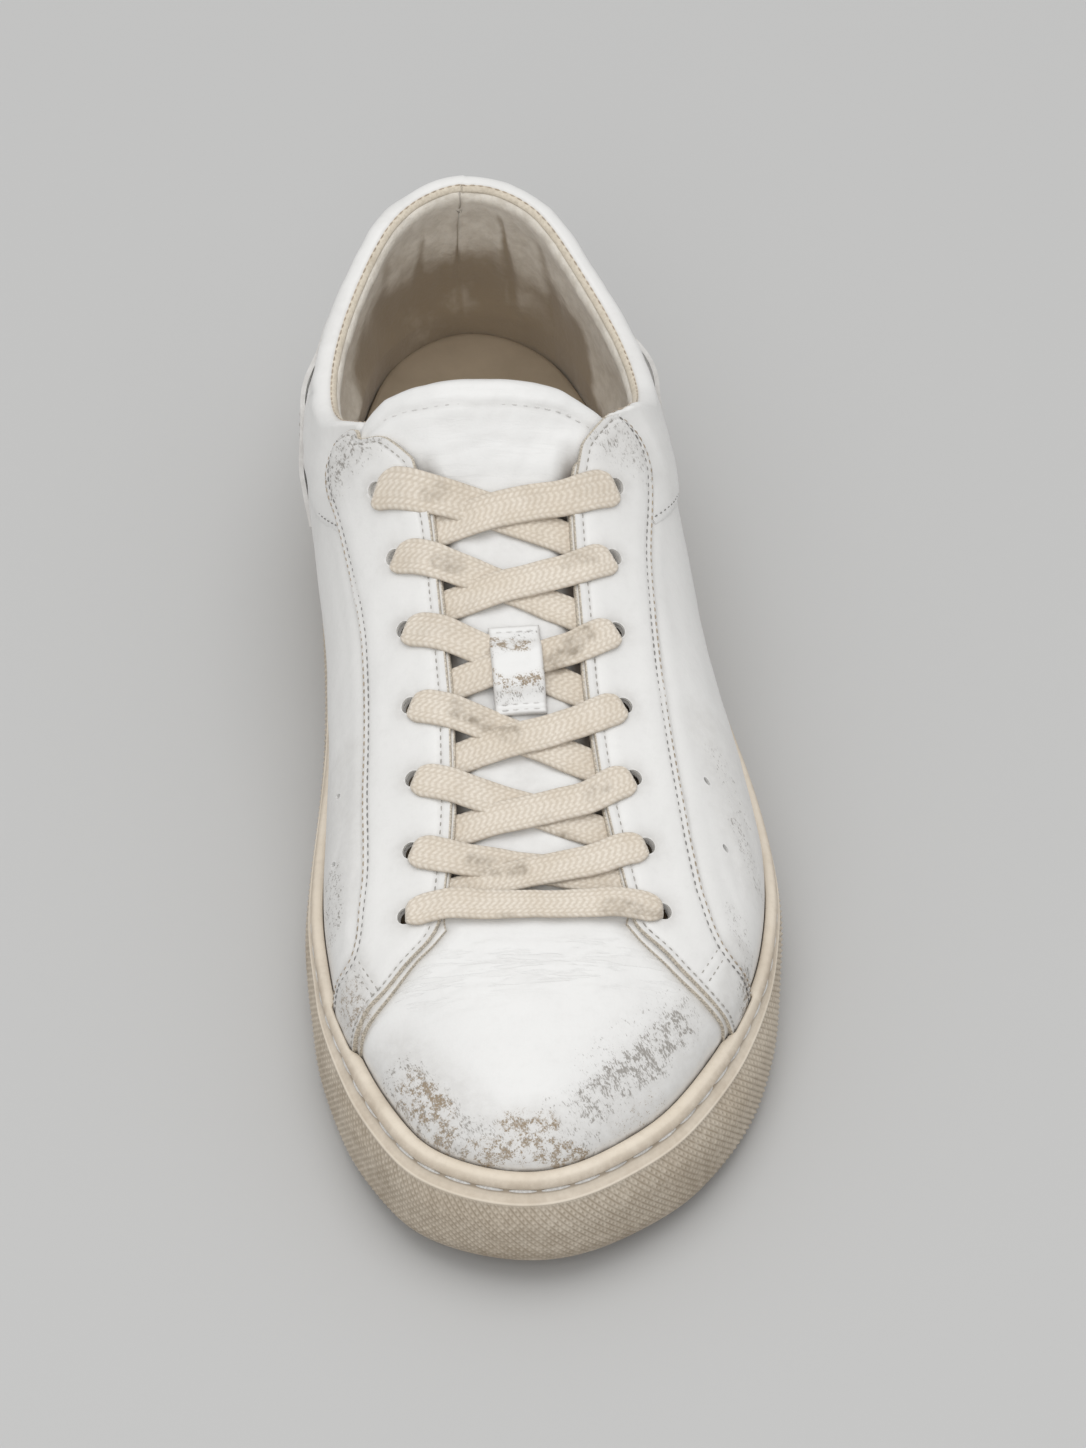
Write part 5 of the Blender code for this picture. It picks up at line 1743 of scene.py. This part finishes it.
def hash_of(name):
    return sum(ord(letter) * (index + 1) for index, letter in enumerate(name)) % 97


def lace_dirt(points):
    """Where the laces are dirtiest: where they rub over the facings' edges and each other."""
    streaks = 0.55 + 0.45 * waves(points * [1, 2.5, 1], 7, 103)
    marks = dabs(points, (0.50, (-18, 129), (-15, 129), 3.0), (0.55, (-17, 146), (-13, 146.5), 3.2),
        (0.75, (15, 167), (7, 173), 3.6), (0.60, (-16, 183), (-4, 189), 3.2), (0.45, (2, 212), (7, 214), 3.2),
        (0.60, (-15, 220), (-5, 222), 3.2), (0.45, (-11, 236), (-8, 236), 2.4),
        (0.55, (14, 235), (28, 235), 3.2), (0.35, (13, 148), (18, 147), 2.8),
        (0.35, (13, 206), (16, 205), 2.8))
    return marks * streaks + 0.08 * np.clip(waves(points, 16, 101), 0, 1)


def lace_heights(reach, knots, values):
    order = np.argsort(knots)
    rough = [np.interp(reach + shift, np.array(knots)[order], np.array(values)[order])
             for shift in np.linspace(-1.6, 1.6, 9)]
    return np.mean(rough, axis=0)


def make_laces():
    """The bar over the bottom eyelets and a pair of crossing straps up to every further pair."""
    braid_cloth = lace_braid()
    reach = np.linspace(-EYELETS[0].inner_reach - 0.4, EYELETS[0].outer_reach + 0.4, 190)
    path = np.stack([spline(reach, LACE_BAR.reach, LACE_BAR.along), reach], -1)
    gap = straight(THROAT, "half_gap", THROAT_END)
    flat = THROAT_SINK * np.clip(1 - (reach / gap) ** 2, 0, 1)
    heights = 0.15 + flat + (OVER_FACING + 0.1) * ease((np.abs(reach + 0.5) - 11) / 9)
    dress(make_strap("lace_bar", path, heights, (True, True)), "laces", braid_cloth)
    for index, (near, far, bend) in enumerate(zip(EYELETS, EYELETS[1:], LACE_BENDS)):
        for outer_end in (INNER, OUTER):
            from_along, _ = one_side(near, not outer_end)
            to_along, to_reach = one_side(far, outer_end)
            edge_along, edge_reach = one_side(bend, outer_end)
            way = 1.0 if outer_end else -1.0
            start_along = min(from_along - 2.6, THROAT_END - 6.5)
            start_gap = straight(THROAT, "half_gap", start_along)
            end_gap = straight(THROAT, "half_gap", to_along)
            path = strap_path((start_along, -way * (start_gap + 1.8)), (edge_along, way * edge_reach),
                              (to_along - 0.1, way * (to_reach + 0.4)))
            rise = 0.9 if index == 0 else 0.0
            middle = ON_TONGUE + (1.2 if outer_end else 0.0)
            knots = [-start_gap - 3, -start_gap + 1.5, -6.0, 5.0, end_gap - 1.6, end_gap + 1.2, 40]
            under = UNDER_QUARTER + rise
            values = [under, under + 0.4, middle, middle, -0.2, OVER_FACING, OVER_FACING]
            heights = lace_heights(way * path[:, 1], knots, values)
            name = f"lace_{index + 1}_{'outer' if outer_end else 'inner'}"
            dress(make_strap(name, path, heights, (False, True)), "laces", braid_cloth)


# ---- A shape that is modelled once and copied, for holes and for stitches.

def shape_of(primitive, **settings):
    """The corners and faces of a primitive, which is then put away."""
    deselect()
    primitive(**settings)
    model = bpy.context.object
    corners = np.array([corner.co for corner in model.data.vertices])
    faces = [tuple(face.vertices) for face in model.data.polygons]
    bpy.data.objects.remove(model)
    return corners, faces


def copies_of(name, copies, faces):
    """One mesh of many copies of a shape, each given by its corners in metres."""
    count = len(copies[0])
    every_face = [tuple(i + at * count for i in face) for at in range(len(copies)) for face in faces]
    mesh = bpy.data.meshes.new(name)
    mesh.from_pydata(np.concatenate(copies).tolist(), [], every_face)
    piece = bpy.data.objects.new(name, mesh)
    bpy.context.collection.objects.link(piece)
    edit(piece, FACE_OUT)
    return piece


def cut_holes(piece, spots, wide, tall, turn=0.0):
    """Bores through a panel: a cylinder is copied to each (point, normal, up) and cut away."""
    shape, faces = shape_of(bpy.ops.mesh.primitive_cylinder_add, vertices=24, radius=0.5 * MM, depth=7 * MM)
    corners = []
    for point, normal, up in spots:
        out = Vector(to_world_direction(normal))
        rise = Vector(to_world_direction(up))
        side = rise.cross(out).normalized()
        rise = out.cross(side)
        tilt = Matrix.Rotation(turn, 3, out)
        axes = np.array([tilt @ side, tilt @ rise, out])
        corners.append((shape * [wide, tall, 1]) @ axes + to_world(point))
    punches = copies_of("punch", corners, faces)
    apply(piece, "BOOLEAN", operation="DIFFERENCE", object=punches, solver="EXACT")
    bpy.data.objects.remove(punches)
    smooth_faces(piece, False)


HOLE_WIDE = 4.2
PERFORATIONS = {OUTER: table(Seam, (196, 42.8), (212, 45.7)), INNER: table(Seam, (185.5, 43.4), (203, 45.6))}


def perforation_frame(row, outer):
    """The middle of a hole in a quarter with its normal and its way up the wall."""
    place = place_of(np.array(row.along), outer)
    point, normal, up = last_frame(place, sweep_at_reach(place, row.reach))
    return point - normal * LAYER_IN["quarter"], normal, up


def punch_upper(quarter, facing, outer):
    eyelets = [eyelet_frame(row, outer) for row in EYELETS]
    cut_holes(facing, eyelets, HOLE_WIDE, HOLE_WIDE)
    cut_holes(quarter, eyelets, HOLE_WIDE, HOLE_WIDE)
    perforations = [perforation_frame(row, outer) for row in PERFORATIONS[outer]]
    cut_holes(quarter, perforations, 2.3, 1.3, math.radians(55))


# ---- Stitches: one is modelled and copied along every seam.

def model_stitch():
    """A stitch of unit length: a round bead that lies along the seam."""
    corners, faces = shape_of(bpy.ops.mesh.primitive_uv_sphere_add, segments=8, ring_count=7, radius=0.5)
    return corners[:, [2, 1, 0]] * [1, -1, 1], faces


STITCH_CORNERS, STITCH_FACES = model_stitch()


def along_line(points, normals, pitch, skip=0.0):
    """Middles, ways and normals of stitches spaced evenly along a line of points."""
    run = run_along(points)
    count = max(1, int((run[-1] - 2 * skip) / pitch))
    spots = skip + (np.arange(count) + 0.5) * (run[-1] - 2 * skip) / count

    def at(shift, values):
        return np.stack([np.interp(spots + shift, run, values[:, axis]) for axis in range(3)], -1)

    middle = at(0, points)
    way = at(pitch * 0.3, points) - at(-pitch * 0.3, points)
    return middle, unit(way), at(0, normals)


def sew(name, node, seams, material, length, wide, high, sink=0.1, loose=0.0):
    """All the stitches of some seams as one piece; a seam is (points, normals, pitch)."""
    corners, chance = [], np.random.default_rng(hash_of(name))
    for points, normals, pitch in seams:
        middle, way, out = along_line(points, normals, pitch)
        side = unit(np.cross(way, out))
        out = np.cross(side, way)
        for spot, forward, aside, up in zip(middle, way, side, out):
            shape = STITCH_CORNERS * [length * chance.uniform(0.9, 1.08), wide, high]
            shape[:, 2] -= 0.35 * high * (2 * STITCH_CORNERS[:, 0]) ** 2
            turned = forward + aside * chance.normal() * loose
            lift = (high * 0.18 - sink) * up
            corners.append(shape[:, :1] * turned + shape[:, 1:2] * aside + shape[:, 2:] * up + spot + lift)
    return dress(copies_of(name, to_world(np.array(corners)), STITCH_FACES), node, material)


def sew_upper():
    """Every visible row of stitches on the upper."""
    grey = thread("grey_thread", (0.28, 0.27, 0.26), (0.17, 0.16, 0.15))
    tan = thread("tan_thread", (0.44, 0.36, 0.27), (0.30, 0.24, 0.17))
    white = thread("white_thread", (0.50, 0.48, 0.45), (0.32, 0.30, 0.27))
    grey_seams, tan_seams, white_seams = [], [], []
    for outer in (OUTER, INNER):
        for distance, seams, lower in ((0.45, tan_seams, 0.1), (1.9, grey_seams, 0.15)):
            point, normal = facing_seam_line(outer, from_seam=distance)
            seams.append((pushed(point, normal, facing_rise(point) - lower), normal, 2.0))
        point, normal = facing_seam_line(outer, from_inner=inner_stitch_distance())
        point = pushed(point, normal, facing_rise(point) - 0.15)
        white_seams.append((point[6:-3], normal[6:-3], 2.0))
        for line, normal in cross_seam_lines(outer):
            white_seams.append((pushed(line, normal, 0 * line[:, 0] - 0.1), normal, 2.0))
    for part in collar_foot_line():
        grey_seams.append((*part, 2.5))
    places = places_between(80, 80, 200)
    top = sweep_at_height(places, smooth_counter_top(station_of(places))) - 2.4 / 46
    point, normal, _ = last_frame(places, top)
    lift = counter_gape(places) * 0.8
    white_seams.append((point + normal * (-LAYER_IN["counter"] - 0.2 + lift)[:, None], normal, 2.6))
    sew("facing_stitches_grey", "upper", grey_seams, grey, 1.35, 0.34, 0.36, 0.0)
    sew("facing_stitches_tan", "upper", tan_seams, tan, 1.35, 0.34, 0.36, 0.0)
    sew("facing_stitches_white", "upper", white_seams, white, 1.3, 0.32, 0.34, 0.0)
    places = places_between(108, 112, 400)
    roll = Roll(places)
    point, way = roll.at(LEATHER_TURN + 0.02, 0.12)
    brown = thread("brown_thread", (0.54, 0.45, 0.35), (0.38, 0.30, 0.22))
    sew("collar_stitches", "upper", [(point, way, 2.1)], brown, 1.6, 0.36, 0.34, 0.0)


def collar_foot_line():
    """The stitched line along the collar's foot, ahead of the heel counter on either side."""
    parts = []
    for outer, end in ((OUTER, 128), (INNER, 122)):
        along = np.linspace(66, end, 60)
        place = place_of(along, outer)
        sweep = sweep_at_height(place, collar_foot(along) + 0.6)
        cover = under_facing(along, sweep, place)
        keep = cover < 0.3
        point, normal, _ = last_frame(place[keep], sweep[keep])
        parts.append((point - normal * (LAYER_IN["collar"] - 0.05), normal))
    return parts


def sew_sole():
    places = even_places(cup_wall, 1400)
    rim, (_, toe) = smooth(SECTIONS, "rim", station_of(places)), side_wall(places)
    points = outline_out(places, groove_out(toe) - 0.34, rim - 2.95)
    normals = np.concatenate([ring_normal(places) * 0.8, np.full((len(places), 1), 0.6)], 1)
    cord = thread("sole_thread", (0.80, 0.79, 0.77), (0.62, 0.60, 0.57))
    sew("sole_stitches", "sole", [(points, normals, 7.5)], cord, 6.4, 0.85, 0.8, 0.0)


def sew_tongue():
    white = thread("tongue_thread", (0.76, 0.75, 0.73), (0.64, 0.63, 0.61))
    brink, reach = tongue_brink(np.linspace(0.14, 0.88, 80))
    along = brink + TONGUE_HEM / 1.25
    low, high = (across(along, reach, TONGUE_DEPTH + tongue_sink(along) - lift) for lift in (2.45, 3.45))
    lines = [(low, high - low, 2.6)]
    for spot, count in ((LOOP_START + 1.6, 2.0), (LOOP_END - 2.3, 2.0), (LOOP_END - 1.0, 2.0)):
        reach = np.linspace(-LOOP_WIDTH / 2 + 1.3, LOOP_WIDTH / 2 - 1.3, 20) + 0.3
        share = (spot - LOOP_START) / (LOOP_END - LOOP_START)
        rise = np.interp(share, *LOOP_ARCH) + LOOP_THICK
        low, high = (across(spot, reach, -(rise + lift)) for lift in (0.0, 1.0))
        lines.append((low, high - low, count))
    sew("tongue_stitches", "tongue", lines, white, 1.5, 0.36, 0.34, 0.05)


make_sole()
make_knurled_band()
sew_sole()
make_vamp()
for side in (OUTER, INNER):
    punch_upper(make_quarter(side), make_facing(side), side)
make_collar()
make_collar_binding()
make_collar_lining()
make_heel_counter()
make_tongue()
make_lace_loop()
make_insole()
make_laces()
sew_upper()
sew_tongue()


# ---- Floor, light and camera.

def lay_floor():
    deselect()
    bpy.ops.mesh.primitive_plane_add(size=8)
    floor = bpy.context.object
    floor.name = "floor"
    finish = Finish("studio_floor", 0.7)
    finish.tint(finish.blend(finish.noise(2.0, 2), (0.54, 0.54, 0.535), (0.555, 0.555, 0.55)))
    floor.data.materials.append(finish.material)


def hang_lamp(name, place, size, power):
    """A soft lamp aimed at the shoe."""
    deselect()
    bpy.ops.object.light_add(type="AREA", location=place)
    lamp = bpy.context.object
    lamp.name = name
    lamp.data.shape = "DISK"
    lamp.data.size = size
    lamp.data.energy = power
    lamp.rotation_euler = (-Vector(place)).to_track_quat("-Z", "Y").to_euler()


def set_camera():
    place = Vector((-0.0893, -1.0430, 1.1245))
    bpy.ops.object.camera_add(location=place)
    camera = bpy.context.object
    camera.data.lens = 157.1
    camera.data.sensor_width = 36
    camera.data.clip_start = 0.05
    aim = Vector((0.004, -0.008, 0.035))
    camera.rotation_euler = (aim - place).to_track_quat("-Z", "Y").to_euler()
    bpy.context.scene.camera = camera


lay_floor()
hang_lamp("overhead_softbox", (0.0, 0.1, 1.9), 1.7, 12)
hang_lamp("front_softbox", (-0.5, -1.6, 1.6), 1.6, 9)
world = bpy.data.worlds.new("studio")
world.use_nodes = True
world.node_tree.nodes["Background"].inputs["Color"].default_value = (1, 1, 1, 1)
world.node_tree.nodes["Background"].inputs["Strength"].default_value = 0.62
bpy.context.scene.world = world
bpy.context.scene.view_settings.view_transform = "Standard"
set_camera()
